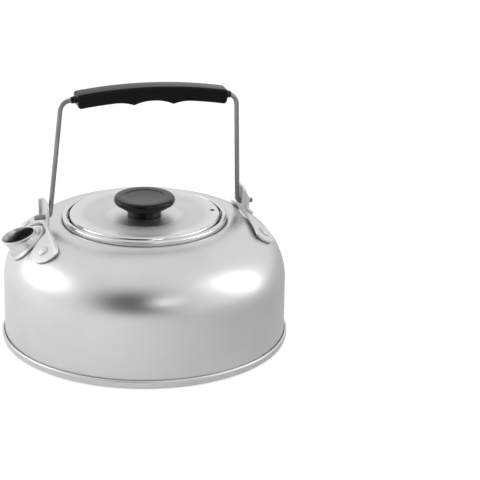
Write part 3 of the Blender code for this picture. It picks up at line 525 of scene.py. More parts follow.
def make_screw():
    """Pan head screw with its thread and its cross recess."""
    seat = DISH_TOP - LID_SHEET - GAP * 2 - WASHER_THICKNESS
    end = seat + SCREW_LENGTH
    line = [(0.0, end), (SCREW_RADIUS - THREAD_PITCH, end), (SCREW_RADIUS, end - THREAD_PITCH)]
    for i in range(int((SCREW_LENGTH - THREAD_START) / THREAD_PITCH)):
        low = end - THREAD_START - THREAD_PITCH * i
        line += [(SCREW_RADIUS, low), (SCREW_RADIUS - THREAD_DEPTH, low - THREAD_PITCH / 2)]
    line.append((SCREW_RADIUS, seat))
    line += ellipse((0.0, seat), SCREW_HEAD_RADIUS, -SCREW_HEAD_HEIGHT, 0, 90, 12)
    screw = spun("lid_screw", line, 48)
    for turn in (0.0, pi / 2):
        work = bmesh.new()
        place = at(turn, 0.0, seat - SCREW_HEAD_HEIGHT) @ Matrix.Diagonal((*RECESS_SLOT, 1.0))
        bmesh.ops.create_cube(work, size=1.0, matrix=place)
        cut_out(screw, work)
    return screw


def make_washer():
    high = DISH_TOP - LID_SHEET - GAP
    low = high - WASHER_THICKNESS
    bore = SCREW_RADIUS + GAP
    start = (bore + 0.0005, high)  # the outline starts and ends within its upper face
    line = [start, (WASHER_RADIUS, high), (WASHER_RADIUS, low), (bore, low), (bore, high), start]
    return spun("lid_washer", softened(line, WASHER_EDGE, 3)[:-1], 64)


def make_basket():
    """Perforated basket with its curled rim."""
    wall = BASKET_RADIUS - BASKET_SHEET / 2
    hang = BASKET_CURL * sin(CURL_END) - BASKET_SHEET / 2 * cos(CURL_END)
    curl = (wall + BASKET_CURL, LEDGE_TOP + GAP - hang)
    top = curl[1] + BASKET_CURL + BASKET_SHEET / 2
    floor = top - BASKET_HEIGHT + BASKET_SHEET / 2
    line = arc(curl, BASKET_CURL, degrees(CURL_END), 180, 16)
    corner = arc((wall - BASKET_CORNER, floor + BASKET_CORNER), BASKET_CORNER, 0, -90, 10)
    line += straight(line[-1], corner[0], 14) + corner
    line += straight(corner[-1], (0.0, floor), 8) + [(0.0, floor)]
    basket = spun("tea_basket", sheet_outline(line, BASKET_SHEET), 144)
    work = bmesh.new()
    for panel in range(HOLE_PANELS):
        middle = 2 * pi * (panel + 0.5) / HOLE_PANELS
        for column in range(HOLE_COLUMNS):
            turn = middle + (column - (HOLE_COLUMNS - 1) / 2) * COLUMN_TURN
            for row in range(HOLE_ROWS):
                lower = 0.5 if column in (0, HOLE_COLUMNS - 1) else 0.0
                height = top - (FIRST_ROW + ROW_PITCH * (row + lower))
                rod(work, HOLE_RADIUS, PUNCH, at(turn, wall, height) @ OUTWARDS, 16)
    for turn in (0.0, pi):
        place = at(turn, wall, top - KEY_HOLE_DEPTH) @ OUTWARDS
        rod(work, KEY_HOLE_RADIUS, PUNCH, place, 32)
    for count, distance in FLOOR_HOLE_RINGS:
        for i in range(count):
            place = at(2 * pi * (i + 0.5) / count, distance, floor)
            rod(work, HOLE_RADIUS, PUNCH, place, 16)
    return cut_out(basket, work)


def seat_ring(radius, height):
    seat_radius = SHOULDER_CENTRE + SHOULDER_RADIUS * cos(SPOUT_SEAT)
    return [on_shoulder(SPOUT_SEAT + radius * cos(angle) / SHOULDER_RADIUS,
                        pi + radius * sin(angle) / seat_radius, height)
            for angle in full_turn(SPOUT_STEPS)]


def lip_ring(radius, drop):
    """Ring of points round the spout's mouth, a little below its plane."""
    uphill = Vector((cos(SPOUT_LEAN), 0.0, sin(SPOUT_LEAN)))
    out = Vector((-sin(SPOUT_LEAN), 0.0, cos(SPOUT_LEAN)))
    centre = on_shoulder(SPOUT_SEAT, pi, 0.0) + Vector((-SPOUT_REACH, 0.0, SPOUT_RISE))
    return [centre - out * drop + radius * (cos(angle) * uphill - sin(angle) * SIDEWAYS)
            for angle in full_turn(SPOUT_STEPS)]


def rings_between(low, high, steps=16):
    rings = []
    for step in range(1, steps):
        share = step / steps
        waist = SPOUT_WAIST * sin(pi * share)
        ring = [a.lerp(b, share) for a, b in zip(low, high)]
        middle = sum(ring, Vector()) / len(ring)
        rings.append([point + (middle - point).normalized() * waist for point in ring])
    return rings


def make_spout():
    """Flared spout with a rounded lip, a filleted root and its flange."""
    half = SPOUT_SHEET / 2
    inner = SPOUT_NECK_RADIUS - SPOUT_SHEET
    top = GAP + SPOUT_SHEET
    clinch = -SHEET - GAP
    outer_seat = seat_ring(SPOUT_NECK_RADIUS, top + SPOUT_ROOT)
    outer_lip = lip_ring(SPOUT_MOUTH_RADIUS, half)
    inner_seat = seat_ring(inner, top)
    inner_lip = lip_ring(SPOUT_MOUTH_RADIUS - SPOUT_SHEET, half)
    rings = [outer_lip] + rings_between(outer_seat, outer_lip)[::-1] + [outer_seat]
    for i in range(1, 6):
        angle = pi / 2 * i / 5
        rings.append(seat_ring(SPOUT_NECK_RADIUS + SPOUT_ROOT * (1 - cos(angle)),
                               top + SPOUT_ROOT * (1 - sin(angle))))
    bead = (SPOUT_FLANGE_RADIUS - SPOUT_NECK_RADIUS - SPOUT_ROOT) / 2
    for i in range(1, 13):
        angle = pi * (1 - i / 12)
        rings.append(seat_ring(SPOUT_FLANGE_RADIUS - bead * (1 - cos(angle)),
                               top - half * i / 12 + SPOUT_BEAD * sin(angle)))
    tail = SPOUT_NECK_RADIUS + SPOUT_CLINCH
    rings += [seat_ring(radius, height) for radius, height in (
        (SPOUT_FLANGE_RADIUS - GAP / 2, GAP), (SPOUT_NECK_RADIUS, GAP),
        (SPOUT_NECK_RADIUS, clinch), (tail, clinch), (tail, clinch - SPOUT_SHEET),
        (inner, clinch - SPOUT_SHEET), (inner, top))]
    rings += rings_between(inner_seat, inner_lip) + [inner_lip]
    for i in range(1, 8):
        angle = pi * i / 8
        rings.append(lip_ring(SPOUT_MOUTH_RADIUS - half - half * cos(angle),
                              half - half * sin(angle)))
    return lofted("pouring_spout", rings, closed=True)


def bracket_side(arm_form, ear_drop):
    """Half of a bracket's outline, from its top to the middle of its foot."""
    spread, lobe_radius = arm_form
    top = PIVOT_HEIGHT + PLATE_RISE
    arm = PIVOT_HEIGHT - ARM_DROP
    foot = shoulder_height(PLATE_REACH) + FOOT_GAP
    lobe = (spread + LOBE_SHIFT, on_shoulder(RIVET_SEAT, 0.0, GAP + BRACKET_SHEET / 2).z)
    if ear_drop:
        low = PIVOT_HEIGHT - EAR_LOW
        edge = PLATE_HALF + EAR_WIDTH
        side = [(PLATE_HALF - EAR_ROOT, top), (PLATE_HALF, top - EAR_ROOT / 2)]
        side += bezier((edge, top - ear_drop), (edge, PIVOT_HEIGHT),
                       (edge - EAR_ROOT / 2, low), 10)
        side += [(PLATE_HALF, low), (PLATE_HALF, arm)]
    else:
        side = arc((PLATE_HALF - PLATE_CORNER, top - PLATE_CORNER), PLATE_CORNER, 90, 0, 12)
        side.append((PLATE_HALF, arm))
    tip = ellipse(lobe, lobe_radius, lobe_radius * cos(RIVET_SEAT), *LOBE_ARC, 36)
    side += bezier((PLATE_HALF, arm), (PLATE_HALF + ARM_SPREAD, arm - ARM_FALL), tip[0], 14)[1:-1]
    side += tip
    inner = (PLATE_HALF + CROTCH_SPREAD, foot - ARM_FALL)
    side += bezier(tip[-1], inner, (PLATE_HALF - CROTCH_INSET, foot), 14)[1:]
    return side


def bracket_form(y, z, ear_low):
    """Where a point of the flat blank goes when the bracket is bent over the shoulder."""
    plate = PLATE_REACH + BRACKET_SHEET / 2
    beyond = -PLATE_HALF - y
    if z > ear_low and beyond > -EAR_BEND:
        if beyond > EAR_BEND:
            return Vector((plate + beyond, -PLATE_HALF, z))
        angle = (beyond + EAR_BEND) / EAR_BEND * pi / 4
        return Vector((plate + EAR_BEND * (1 - cos(angle)),
                       -PLATE_HALF + EAR_BEND * (1 - sin(angle)), z))
    reach = SHOULDER_RADIUS + GAP + BRACKET_SHEET / 2
    radius = SHOULDER_CENTRE + sqrt(max(reach ** 2 - (z - WALL_HEIGHT) ** 2, 0.0))
    seated = sqrt(max(radius ** 2 - y ** 2, 0.0))
    return Vector(((plate + seated) / 2 + hypot((plate - seated) / 2, FOLD_SOFTNESS), y, z))


def slice_blank(work, point, normal):
    bmesh.ops.bisect_plane(work, geom=work.verts[:] + work.edges[:] + work.faces[:],
                           dist=1e-7, plane_co=point, plane_no=normal)


def make_bracket(name, turn, plain_arm, ear_arm, ear_drop):
    """Stamped bracket with rounded edges, folded ear, and arms laid over the shoulder."""
    outline = bracket_side(plain_arm, 0.0)
    outline += [(-y, z) for y, z in reversed(bracket_side(ear_arm, ear_drop))]
    work = bmesh.new()
    work.faces.new([work.verts.new((0.0, y, z)) for y, z in outline])
    upright = [-BLANK_HALF + 2 * BLANK_HALF * i / 34 for i in range(1, 34)]
    upright += [-PLATE_HALF + EAR_BEND * i / 3 for i in range(-3, 4)]
    for y in upright:
        slice_blank(work, (0.0, y, 0.0), SIDEWAYS)
    for i in range(1, 30):
        slice_blank(work, (0.0, 0.0, BLANK_FOOT + BLANK_STEP * i), (0.0, 0.0, 1.0))
    ear_low = PIVOT_HEIGHT - EAR_LOW - EAR_SLACK
    for point in work.verts:
        point.co = bracket_form(point.co.y, point.co.z, ear_low)
    work.transform(Matrix.Rotation(turn, 4, "Z"))
    made = new_piece(name, finish_mesh(name, work))
    sheet = made.modifiers.new("Sheet", "SOLIDIFY")
    sheet.thickness = BRACKET_SHEET
    sheet.offset = 0.0
    sheet.use_even_offset = True
    settle(made)
    work = bmesh.new()
    rod(work, WIRE_RADIUS + GAP, LONG_DRILL, at(0.0, 0.0, PIVOT_HEIGHT) @ OUTWARDS, 32)
    drill_for_rivets(work)
    cut_out(made, work)
    edge = made.modifiers.new("Edge", "BEVEL")
    edge.width = BRACKET_EDGE
    edge.segments = 2
    edge.limit_method = "ANGLE"
    edge.angle_limit = BRACKET_CORNER
    return settle(made)


def make_rivet(name, turn):
    """Rivet with a low domed head outside and its set end inside."""
    head = GAP + BRACKET_SHEET + GAP / 3
    tail = -SHEET - GAP
    line = ellipse((0.0, head), RIVET_HEAD_RADIUS, RIVET_HEAD_HEIGHT, 90, 8, 14)
    line += [(RIVET_HEAD_RADIUS, head), (RIVET_RADIUS, head), (RIVET_RADIUS, tail),
             (RIVET_TAIL_RADIUS, tail), (RIVET_TAIL_RADIUS, tail - RIVET_TAIL_HEIGHT),
             (0.0, tail - RIVET_TAIL_HEIGHT)]
    made = spun(name, softened(line, RIVET_EDGE, 2), 48)
    made.data.transform(shoulder_frame(RIVET_SEAT, turn))
    return made


def bail_corners():
    foot = PLATE_REACH - WIRE_CLEARANCE - WIRE_RADIUS
    spout = (-foot + LEAN_SPOUT, PIVOT_HEIGHT + BAIL_RISE_SPOUT)
    rear = (foot - LEAN_REAR, PIVOT_HEIGHT + BAIL_RISE_REAR)
    return foot, spout, rear


def bar_point(share):
    """Point and upward direction on the arched bar, share 0 at the spout corner."""
    spout, rear = bail_corners()[1:]
    chord = Vector((rear[0] - spout[0], rear[1] - spout[1]))
    half = chord.length / 2
    radius = half ** 2 / (2 * BAR_ARCH) + BAR_ARCH / 2
    across = Vector((-chord.y, chord.x)).normalized()
    centre = Vector(spout) + chord / 2 - across * (radius - BAR_ARCH)
    angle = (2 * share - 1) * asin(half / radius)
    up = across * cos(angle) + chord.normalized() * sin(angle)
    return centre + up * radius, up


def filleted(before, corner, after, radius, steps=14):
    before, corner, after = Vector(before), Vector(corner), Vector(after)
    first = (before - corner).normalized()
    second = (after - corner).normalized()
    half = first.angle(second) / 2
    centre = corner + (first + second).normalized() * (radius / sin(half))
    start = corner + first * (radius / tan(half)) - centre
    end = corner + second * (radius / tan(half)) - centre
    whole = start.angle(end)
    points = []
    for i in range(steps + 1):
        t = i / steps
        reach = start * sin((1 - t) * whole) + end * sin(t * whole)
        points.append(centre + reach / sin(whole))
    return points


def bail_path():
    """Middle of the wire from one tip over the top to the other, as (x, z)."""
    foot, spout, rear = bail_corners()
    tip = PLATE_REACH + WIRE_TIP
    low = PIVOT_HEIGHT
    bar = [bar_point(i / 48)[0] for i in range(49)]
    path = [Vector((-tip, low)), Vector((-tip + TIP_CHAMFER, low))]
    path += filleted((-tip, low), (-foot, low), spout, FOOT_BEND)
    path += filleted((-foot, low), spout, bar[1], TOP_BEND)
    path += bar[6:-6]
    path += filleted(bar[-2], rear, (foot, low), TOP_BEND)
    path += filleted(rear, (foot, low), (tip, low), FOOT_BEND)
    path += [Vector((tip - TIP_CHAMFER, low)), Vector((tip, low))]
    return path


def tube(name, path, radii, sides=28):
    """Round bar along a path in the XZ plane, with a radius for each point."""
    rings = []
    for i, point in enumerate(path):
        way = (path[min(i + 1, len(path) - 1)] - path[max(i - 1, 0)]).normalized()
        across = Vector((-way.y, 0.0, way.x))
        rings.append([Vector((point.x, 0.0, point.y)) + radii[i] * (
            across * cos(angle) + SIDEWAYS * sin(angle)) for angle in full_turn(sides)])
    return lofted(name, rings)


def make_wire():
    path = bail_path()
    radii = [WIRE_RADIUS] * len(path)
    radii[0] = radii[-1] = WIRE_RADIUS * TIP_SHARE
    return tube("bail", path, radii)


def grip_shares(proud=0.0):
    """Shares of the bar where the grip starts and ends."""
    spout, rear = bail_corners()[1:]
    bar = hypot(rear[0] - spout[0], rear[1] - spout[1])
    middle = 0.5 + GRIP_SHIFT / bar
    half = (GRIP_LENGTH / 2 + proud) / bar
    return middle - half, middle + half


def make_sleeve():
    """Thin sleeve on the wire, tapered where it leaves the grip."""
    start, end = grip_shares(SLEEVE_PROUD)
    steps = 120
    path = []
    radii = []
    for i in range(steps + 1):
        path.append(bar_point(start + (end - start) * i / steps)[0])
        edge = min(i, steps - i) * (GRIP_LENGTH + 2 * SLEEVE_PROUD) / steps
        radii.append(SLEEVE_RADIUS - SLEEVE_TAPER * max(0.0, 1 - edge / TAPER_REACH) ** 2)
    return tube("sleeve", path, radii)


def grip_inset(distance, radius):
    """How far a rounded end draws in at a distance from its end face."""
    if distance >= radius:
        return 0.0
    return radius - sqrt(radius ** 2 - (radius - distance) ** 2)


def grip_section(point, up, high, low, half):
    """Rounded rectangle across the grip."""
    side, upper, lower = half - GRIP_EDGE, high - GRIP_EDGE, GRIP_EDGE - low
    ring = []
    for y, rise, start in ((side, upper, 0), (-side, upper, 90),
                           (-side, lower, 180), (side, lower, 270)):
        for i in range(9):
            angle = radians(start + 90 * i / 8)
            away = rise + GRIP_EDGE * sin(angle)
            ring.append(Vector((point.x + up.x * away, y + GRIP_EDGE * cos(angle),
                                point.y + up.y * away)))
    return ring


def make_grip():
    """Moulded grip with its arched back, flat flanks and finger cusps."""
    start, end = grip_shares()
    places = [GRIP_CORNER * (1 - cos(pi / 2 * i / 10)) for i in range(10)]
    places += [GRIP_CORNER + (GRIP_LENGTH - 2 * GRIP_CORNER) * i / 180 for i in range(181)]
    places += [GRIP_LENGTH - place for place in places[9::-1]]
    rings = []
    for place in places:
        point, up = bar_point(start + (end - start) * place / GRIP_LENGTH)
        ends = min(place, GRIP_LENGTH - place)
        inset = grip_inset(ends, GRIP_CORNER)
        bump = 0.0
        for cusp in CUSP_PLACES:
            bump += CUSP_HEIGHT * max(0.0, 1 - abs(point.x - cusp) / CUSP_REACH) ** 2
        rings.append(grip_section(point, up, GRIP_ABOVE - inset, GRIP_BELOW + bump - inset,
                                  GRIP_WIDTH / 2 - grip_inset(ends, GRIP_EDGE) * FLANK_SHARE))
    return lofted("hand_grip", rings)


# Finishes

def add(tree, kind, inputs=None, **settings):
    """New node with its settings. Each input is given as a value or as a socket."""
    made = tree.nodes.new("ShaderNode" + kind)
    for key, value in settings.items():
        setattr(made, key, value)
    for key, value in (inputs or {}).items():
        if isinstance(value, bpy.types.NodeSocket):
            tree.links.new(value, made.inputs[key])
        else:
            made.inputs[key].default_value = value
    return made


def tree_of(values):
    """The tree that the first socket among some values stands in."""
    return next(value.id_data for value in values if isinstance(value, bpy.types.NodeSocket))


def maths(operation, *values):
    return add(tree_of(values), "Math", dict(enumerate(values)), operation=operation).outputs[0]


def vectors(operation, *values):
    made = add(tree_of(values), "VectorMath", dict(enumerate(values)), operation=operation)
    return made.outputs["Value" if operation in ("LENGTH", "DOT_PRODUCT") else "Vector"]


def own_place(tree):
    """Place on the piece, in metres."""
    return add(tree, "TexCoord").outputs["Object"]


def from_axis(place):
    """Distance from the kettle's axis."""
    return vectors("LENGTH", vectors("MULTIPLY", place, (1.0, 1.0, 0.0)))


def noise(place, scale, detail, roughness=0.5, distortion=0.0):
    inputs = {"Vector": place, "Scale": scale, "Detail": detail, "Roughness": roughness,
              "Distortion": distortion}
    return add(place.id_data, "TexNoise", inputs).outputs[0]


def spread(value, start, end, low=0.0, high=1.0, smooth=False):
    """Carry a value from one span over to another, and never beyond it."""
    inputs = {"Value": value, "From Min": start, "From Max": end, "To Min": low, "To Max": high}
    return add(value.id_data, "MapRange", inputs,
               interpolation_type="SMOOTHSTEP" if smooth else "LINEAR").outputs[0]


def levelled(mask, low, high):
    """Values between two levels, from a mask of 0 to 1."""
    return spread(mask, 0.0, 1.0, low, high)


def mixed(share, first, second):
    """Colour between two colours."""
    first, second = [colour if isinstance(colour, bpy.types.NodeSocket) else (*colour, 1.0)
                     for colour in (first, second)]
    inputs = {"Factor": share, 6: first, 7: second}
    return add(share.id_data, "Mix", inputs, data_type="RGBA").outputs[2]


def new_group(name, label, value, outputs):
    """Node group with one named input and named outputs."""
    tree = bpy.data.node_groups.new(name, "ShaderNodeTree")
    given = tree.interface.new_socket(name=label, in_out="INPUT", socket_type="NodeSocketFloat")
    given.default_value = value
    for result in outputs:
        tree.interface.new_socket(name=result, in_out="OUTPUT", socket_type="NodeSocketFloat")
    given = tree.nodes.new("NodeGroupInput").outputs[0]
    return tree, given, tree.nodes.new("NodeGroupOutput").inputs


def turned_grain_group():
    """Fine rings round the kettle's axis, as a spinning tool leaves them."""
    tree, rings, results = new_group("turned grain", "Rings per metre", 2600.0, ("Rings", "Bands"))
    place = own_place(tree)
    height = add(tree, "SeparateXYZ", {0: place}).outputs["Z"]
    radius = from_axis(place)
    drift = vectors("MULTIPLY", place, (9.0, 9.0, 0.0))
    for label, share, detail in (("Rings", 1.0, 2.0), ("Bands", 0.055, 1.0)):
        pitch = maths("MULTIPLY", rings, share)
        across = add(tree, "CombineXYZ", {"X": maths("MULTIPLY", radius, pitch),
                                          "Z": maths("MULTIPLY", height, pitch)})
        spot = vectors("ADD", across.outputs[0], drift)
        tree.links.new(noise(spot, 1.0, detail, 0.55), results[label])
    return tree


def handling_marks_group():
    """Faint smudges and hairline scratches from use."""
    tree, smudges, results = new_group("handling marks", "Smudges per metre", 28.0,
                                       ("Smudge", "Scratch"))
    place = own_place(tree)
    smudge = noise(place, smudges, 4.0, 0.55, 0.4)
    lines = []
    for turn, stretch in (((0.3, 0.5, 0.2), (30.0, 900.0, 60.0)),
                          ((1.1, 0.2, 1.4), (700.0, 26.0, 50.0))):
        bent = add(tree, "Mapping", {"Vector": place, "Rotation": turn, "Scale": stretch})
        level = noise(bent.outputs[0], 1.0, 1.0)
        # a hairline runs where the noise passes one level
        away = maths("ABSOLUTE", maths("SUBTRACT", level, 0.66))
        lines.append(spread(away, 0.0, 0.012, 1.0, 0.0))
    tree.links.new(spread(smudge, 0.35, 0.7, smooth=True), results["Smudge"])
    tree.links.new(maths("MAXIMUM", *lines), results["Scratch"])
    return tree


def pitted_skin_group():
    """Fine pits of a tumbled or moulded skin, with a coarser unevenness under them."""
    tree, pits, results = new_group("pitted skin", "Pits per metre", 3000.0,
                                    ("Pits", "Unevenness"))
    place = own_place(tree)
    tree.links.new(noise(place, pits, 2.0, 0.6), results["Pits"])
    tree.links.new(noise(place, 160.0, 3.0), results["Unevenness"])
    return tree


def rubbed_edges_group():
    """Mask of the outer edges, where handling rubs a surface bright."""
    tree, start, results = new_group("rubbed edges", "Start", 0.52, ("Edge",))
    bend = add(tree, "NewGeometry").outputs["Pointiness"]
    end = maths("ADD", start, 0.05)
    tree.links.new(spread(bend, start, end), results["Edge"])
    return tree


GROUPS = {"grain": turned_grain_group(), "marks": handling_marks_group(),
          "pits": pitted_skin_group(), "edges": rubbed_edges_group()}


def use(tree, group, value):
    """Outputs of a group placed in a material, with the value of its input."""
    return add(tree, "Group", {0: value}, node_tree=GROUPS[group]).outputs


def tinted(colour, share):
    return [min(1.0, c * share) for c in colour]


def new_finish(name, metallic):
    made = bpy.data.materials.new(name)
    made.use_nodes = True
    shader = made.node_tree.nodes["Principled BSDF"]
    shader.inputs["Metallic"].default_value = metallic
    return made, made.node_tree, shader


def connect(shader, base, gloss, height, strength, depth):
    """Give a shader its colour, roughness and relief."""
    tree = shader.id_data
    bump = add(tree, "Bump", {"Height": height, "Strength": strength, "Distance": depth})
    for result, name in ((base, "Base Color"), (gloss, "Roughness"), (bump.outputs[0], "Normal")):
        tree.links.new(result, shader.inputs[name])


def spun_aluminium(name, colour, roughness, grain, rings=2600.0, polished=()):
    """Aluminium turned on a lathe: rings in its relief and gloss, smudges and hairlines.

    A polished zone is (radius where it is dull, radius where it shines, its roughness)."""
    made, tree, shader = new_finish(name, 1.0)
    turned = use(tree, "grain", rings)
    marks = use(tree, "marks", 28.0)
    pits = use(tree, "pits", 3600.0)
    base = mixed(levelled(turned["Bands"], 0.1, 0.9), colour, tinted(colour, 1.04))
    base = mixed(levelled(marks["Smudge"], 0.0, 0.5), base, tinted(colour, 0.93))
    gloss = levelled(turned["Bands"], roughness - 0.03, roughness + 0.03)
    gloss = maths("ADD", gloss, levelled(marks["Smudge"], 0.0, 0.05))
    gloss = maths("SUBTRACT", gloss, levelled(marks["Scratch"], 0.0, 0.02))
    for dull, shiny, smooth in polished:
        zone = spread(from_axis(own_place(tree)), dull, shiny)
        gloss = maths("SUBTRACT", gloss, levelled(zone, 0.0, roughness - smooth))
    height = maths("ADD", maths("MULTIPLY", turned["Rings"], grain),
                   maths("MULTIPLY", pits["Pits"], grain * 0.3))
    scratch = maths("MULTIPLY", marks["Scratch"], grain * 0.08)
    connect(shader, base, gloss, maths("SUBTRACT", height, scratch), strength=0.35, depth=0.00004)
    return made


def stamped_aluminium(name, colour, roughness):
    """Tumbled sheet: fine pits, slight unevenness, edges rubbed bright."""
    made, tree, shader = new_finish(name, 1.0)
    pits = use(tree, "pits", 2400.0)
    marks = use(tree, "marks", 60.0)
    edge = use(tree, "edges", 0.53)["Edge"]
    base = mixed(levelled(marks["Smudge"], 0.0, 0.6), colour, tinted(colour, 0.9))
    base = mixed(edge, base, tinted(colour, 1.08))
    gloss = levelled(pits["Unevenness"], roughness - 0.06, roughness + 0.06)
    gloss = maths("ADD", gloss, levelled(edge, 0.0, -0.12))
    height = maths("ADD", maths("MULTIPLY", pits["Pits"], 0.6),
                   maths("MULTIPLY", pits["Unevenness"], 0.5))
    connect(shader, base, gloss, height, strength=0.4, depth=0.00006)
    return made


def drawn_steel(name, colour, roughness):
    """Drawn, plated or machined metal with draw marks and hairlines."""
    made, tree, shader = new_finish(name, 1.0)
    marks = use(tree, "marks", 90.0)
    pits = use(tree, "pits", 4200.0)
    base = mixed(levelled(marks["Smudge"], 0.0, 0.8), colour, tinted(colour, 0.82))
    base = mixed(levelled(marks["Scratch"], 0.0, 0.4), base, tinted(colour, 1.25))
    gloss = levelled(pits["Unevenness"], roughness - 0.05, roughness + 0.05)
    gloss = maths("ADD", gloss, levelled(marks["Smudge"], 0.0, 0.08))
    height = maths("SUBTRACT", pits["Pits"], marks["Scratch"])
    connect(shader, base, gloss, height, strength=0.25, depth=0.00003)
    return made


def black_moulding(name, colour, roughness, ior):
    """Black phenolic: fine moulded grain, soft unevenness, edges a little polished."""
    made, tree, shader = new_finish(name, 0.0)
    pits = use(tree, "pits", 1900.0)
    marks = use(tree, "marks", 70.0)
    edge = use(tree, "edges", 0.54)["Edge"]
    dusty, rubbed = ([c + more for c in colour] for more in (0.003, 0.006))
    base = mixed(levelled(marks["Smudge"], 0.0, 0.7), colour, dusty)
    base = mixed(levelled(edge, 0.0, 0.6), base, rubbed)
    gloss = levelled(pits["Unevenness"], roughness - 0.05, roughness + 0.05)
    gloss = maths("ADD", gloss, levelled(edge, 0.0, -0.1))
    height = maths("ADD", maths("MULTIPLY", pits["Pits"], 0.5), pits["Unevenness"])
    connect(shader, base, gloss, height, strength=0.3, depth=0.00005)
    shader.inputs["IOR"].default_value = ior
    return made


LID_POLISH = ((LID_PLATEAU + 0.0016, LID_PLATEAU, 0.35), (DISH_RADIUS, LID_RADIUS - 0.003, 0.15))
BLACK = (0.002, 0.002, 0.0021)
FINISHES = {slot: finish(slot, *values) for slot, finish, *values in (
    ("satin_aluminium", spun_aluminium, (0.635, 0.635, 0.64), 0.31, 1.0),
    ("bright_aluminium", spun_aluminium, (0.68, 0.68, 0.685), 0.53, 0.7, 3400.0, LID_POLISH),
    ("stamped_aluminium", stamped_aluminium, (0.71, 0.71, 0.715), 0.58),
    ("bail_steel", drawn_steel, (0.27, 0.27, 0.275), 0.34),
    ("plated_steel", drawn_steel, (0.55, 0.56, 0.57), 0.26),
    ("brass", drawn_steel, (0.72, 0.53, 0.23), 0.3),
    ("black_plastic", black_moulding, BLACK, 0.13, 1.33),
)}
GRIP_FINISH = black_moulding("grip_plastic", BLACK, 0.17, 1.24)


# Pieces on their bodies

def coat(made, finish):
    made.data.materials.clear()
    made.data.materials.append(finish)


def dress(made, slot, body, *nodes, finish=None):
    """Give a piece its finish, let it ride on its body and stand for its solids."""
    coat(made, finish or FINISHES[slot])
    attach(made, body)
    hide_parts(*nodes)


def dress_kettle():
    dress(make_body(), "satin_aluminium", "kettle", "body_shell")
    dress(make_pan(), "satin_aluminium", "kettle", "base_pan")
    dress(make_ring(), "bright_aluminium", "kettle", "mouth_ring")
    dress(make_spout(), "satin_aluminium", "kettle", "spout")
    dress(make_bracket("bracket_at_spout", pi, NEAR_ARM, FAR_ARM, EAR_DROP_SPOUT),
          "stamped_aluminium", "kettle", "spout_bracket")
    dress(make_bracket("bracket_at_rear", 0.0, FAR_ARM, NEAR_ARM, EAR_DROP_REAR),
          "stamped_aluminium", "kettle", "rear_bracket")
    for place, turn in rivet_turns().items():
        dress(make_rivet("bracket_rivet_" + place, turn), "stamped_aluminium", "kettle",
              "rivet_" + place)
    dress(make_basket(), "satin_aluminium", "basket", "infuser_basket")
    dress(make_lid(), "bright_aluminium", "lid", "lid")
    dress(make_knob(), "black_plastic", "lid", "knob")
    dress(make_screw(), "plated_steel", "lid", "knob_screw")
    dress(make_washer(), "plated_steel", "lid", "knob_washer")
    dress(make_wire(), "bail_steel", "bail", "bail_wire")
    dress(make_sleeve(), "black_plastic", "bail", "grip_sleeve")
    dress(make_grip(), "black_plastic", "bail", "grip", finish=GRIP_FINISH)
    coat(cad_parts["knob_insert"], FINISHES["brass"])


# Camera, floor and light, with turns from +X and rises in degrees

FRAME_PIXELS = 480.0
FOCAL_PIXELS = 2269.0
AXIS_PIXEL = 144.45          # where the kettle's axis stands in the frame
CAMERA_TURN = -104.0
CAMERA_RISE = 20.51
CAMERA_DISTANCE = 1.2
CAMERA_HEIGHT = 0.0526       # of the point that the camera looks at
FLOOR_DROP = 0.00005
FLOOR_COLOUR = (0.82, 0.82, 0.82, 1.0)
FLOOR_GLOW = 0.5
PAINTED_REFLECTION_SPAN = (-0.2, 0.17)     # painted reflection: metal mirrors the floor's glow from the spout's side, fading to none at the rear
ROOM_LEVEL = 0.6             # light of the room on matt surfaces
DARK_TURN = -109.0
DARK_RISE = 23.0
DARK_HALVES = (38.0, 23.0)   # half the width and half the height of the dark place
LAMP_DISTANCE = 0.9
LAMP_HEIGHT = 0.05           # of the point that the lamps face
LAMPS = (                    # name, turn, rise, roll, width, height and power
    ("left softbox", 162.0, 20.0, 20.0, 0.85, 0.42, 1.5),
    ("right softbox", -20.0, 21.0, -45.0, 0.95, 0.36, 1.4),
    ("front glint", -86.0, 22.0, 0.0, 0.34, 0.05, 0.42),
)


def aim(made, place, target, roll=0.0):
    made.location = place
    facing = (Vector(target) - Vector(place)).to_track_quat("-Z", "Y").to_matrix()
    made.rotation_euler = (facing @ Matrix.Rotation(radians(roll), 3, "Z")).to_euler()


def around(turn, rise, distance):
    """Place round the kettle, by its turn and its rise."""
    return direction(radians(rise), radians(turn)) * distance


def add_camera():
    data = bpy.data.cameras.new("camera")
    made = new_piece("camera", data)
    target = Vector((0.0, 0.0, CAMERA_HEIGHT))
    aim(made, target + around(CAMERA_TURN, CAMERA_RISE, CAMERA_DISTANCE), target)
    data.lens = FOCAL_PIXELS / FRAME_PIXELS * data.sensor_width
    data.shift_x = (FRAME_PIXELS / 2 - AXIS_PIXEL) / FRAME_PIXELS
    data.clip_end = 20.0
    bpy.context.scene.camera = made


def add_lamp(name, turn, rise, roll, width, height, power):
    data = bpy.data.lights.new(name, "AREA")
    data.shape = "ELLIPSE"
    data.size = width
    data.size_y = height
    data.energy = power
    middle = Vector((0.0, 0.0, LAMP_HEIGHT))
    aim(new_piece(name, data), middle + around(turn, rise, LAMP_DISTANCE), middle, roll)


def background_rays(tree):
    """One for the camera's rays, and one for the glossy and transmission rays."""
    path = add(tree, "LightPath").outputs
    mirrored = maths("MAXIMUM", path["Is Glossy Ray"], path["Is Transmission Ray"])
    return path["Is Camera Ray"], mirrored


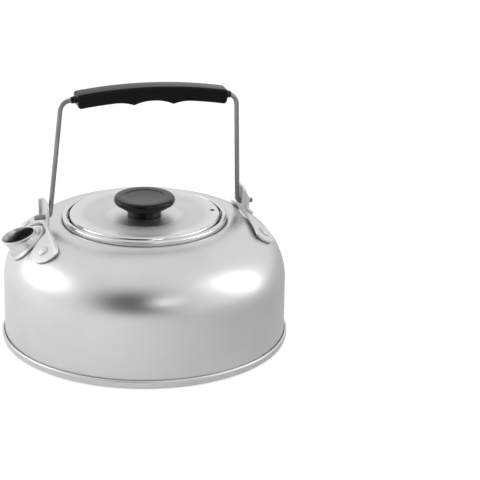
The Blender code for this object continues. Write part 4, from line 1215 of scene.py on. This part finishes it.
def add_floor():
    """Pale floor that shows white. Its glow in metal is a painted reflection, fading towards the
    kettle's rear so that the kettle's lower wall mirrors darker there.
    """
    work = bmesh.new()
    bmesh.ops.create_grid(work, x_segments=8, y_segments=8, size=4.0)
    floor = new_piece("floor", finish_mesh("floor", work))
    floor.location.z = -FLOOR_DROP
    made = bpy.data.materials.new("pale floor")
    made.use_nodes = True
    tree = made.node_tree
    tree.nodes.clear()
    seen, mirrored = background_rays(tree)
    across = add(tree, "SeparateXYZ", {0: own_place(tree)}).outputs["X"]
    # painted reflection: glow only for mirrored rays, strong on the spout's side and none at the
    # rear
    side = spread(across, *PAINTED_REFLECTION_SPAN, FLOOR_GLOW, 0.0, smooth=True)
    level = maths("ADD", maths("MULTIPLY", seen, FLOOR_GLOW), maths("MULTIPLY", mirrored, side))
    matt = add(tree, "BsdfDiffuse", {"Color": FLOOR_COLOUR})
    glow = add(tree, "Emission", {"Strength": level})
    both = add(tree, "AddShader", {0: matt.outputs[0], 1: glow.outputs[0]})
    add(tree, "OutputMaterial", {"Surface": both.outputs[0]})
    coat(floor, made)


def add_world():
    """White room with one dark place in front, where the camera stands."""
    world = bpy.data.worlds.new("studio")
    bpy.context.scene.world = world
    world.use_nodes = True
    tree = world.node_tree
    tree.nodes.clear()
    way = add(tree, "TexCoord").outputs["Generated"]
    ahead = around(DARK_TURN, DARK_RISE, 1.0)
    side = around(DARK_TURN + 90.0, 0.0, 1.0)
    parts = []
    for axis, half in zip((side, ahead.cross(side)), DARK_HALVES):
        share = maths("DIVIDE", vectors("DOT_PRODUCT", way, axis), sin(radians(half)))
        parts.append(maths("POWER", maths("ABSOLUTE", share), 2.0))
    off = maths("SQRT", maths("ADD", *parts))
    front = maths("GREATER_THAN", vectors("DOT_PRODUCT", way, ahead), 0.0)
    patch = maths("MULTIPLY", spread(off, 0.6, 1.3, 1.0, 0.0, smooth=True), front)
    seen, mirrored = background_rays(tree)
    white = maths("SUBTRACT", 1.0, maths("MULTIPLY", patch, mirrored))
    shown = maths("MAXIMUM", seen, mirrored)
    level = add(tree, "Mix", {"Factor": shown, 2: ROOM_LEVEL, 3: white}, data_type="FLOAT")
    glow = add(tree, "Background", {"Color": (1.0, 1.0, 1.0, 1.0), "Strength": level.outputs[0]})
    add(tree, "OutputWorld", {"Surface": glow.outputs[0]})


bpy.context.scene.view_settings.view_transform = "Standard"
add_camera()
add_floor()
add_world()
for lamp in LAMPS:
    add_lamp(*lamp)
dress_kettle()
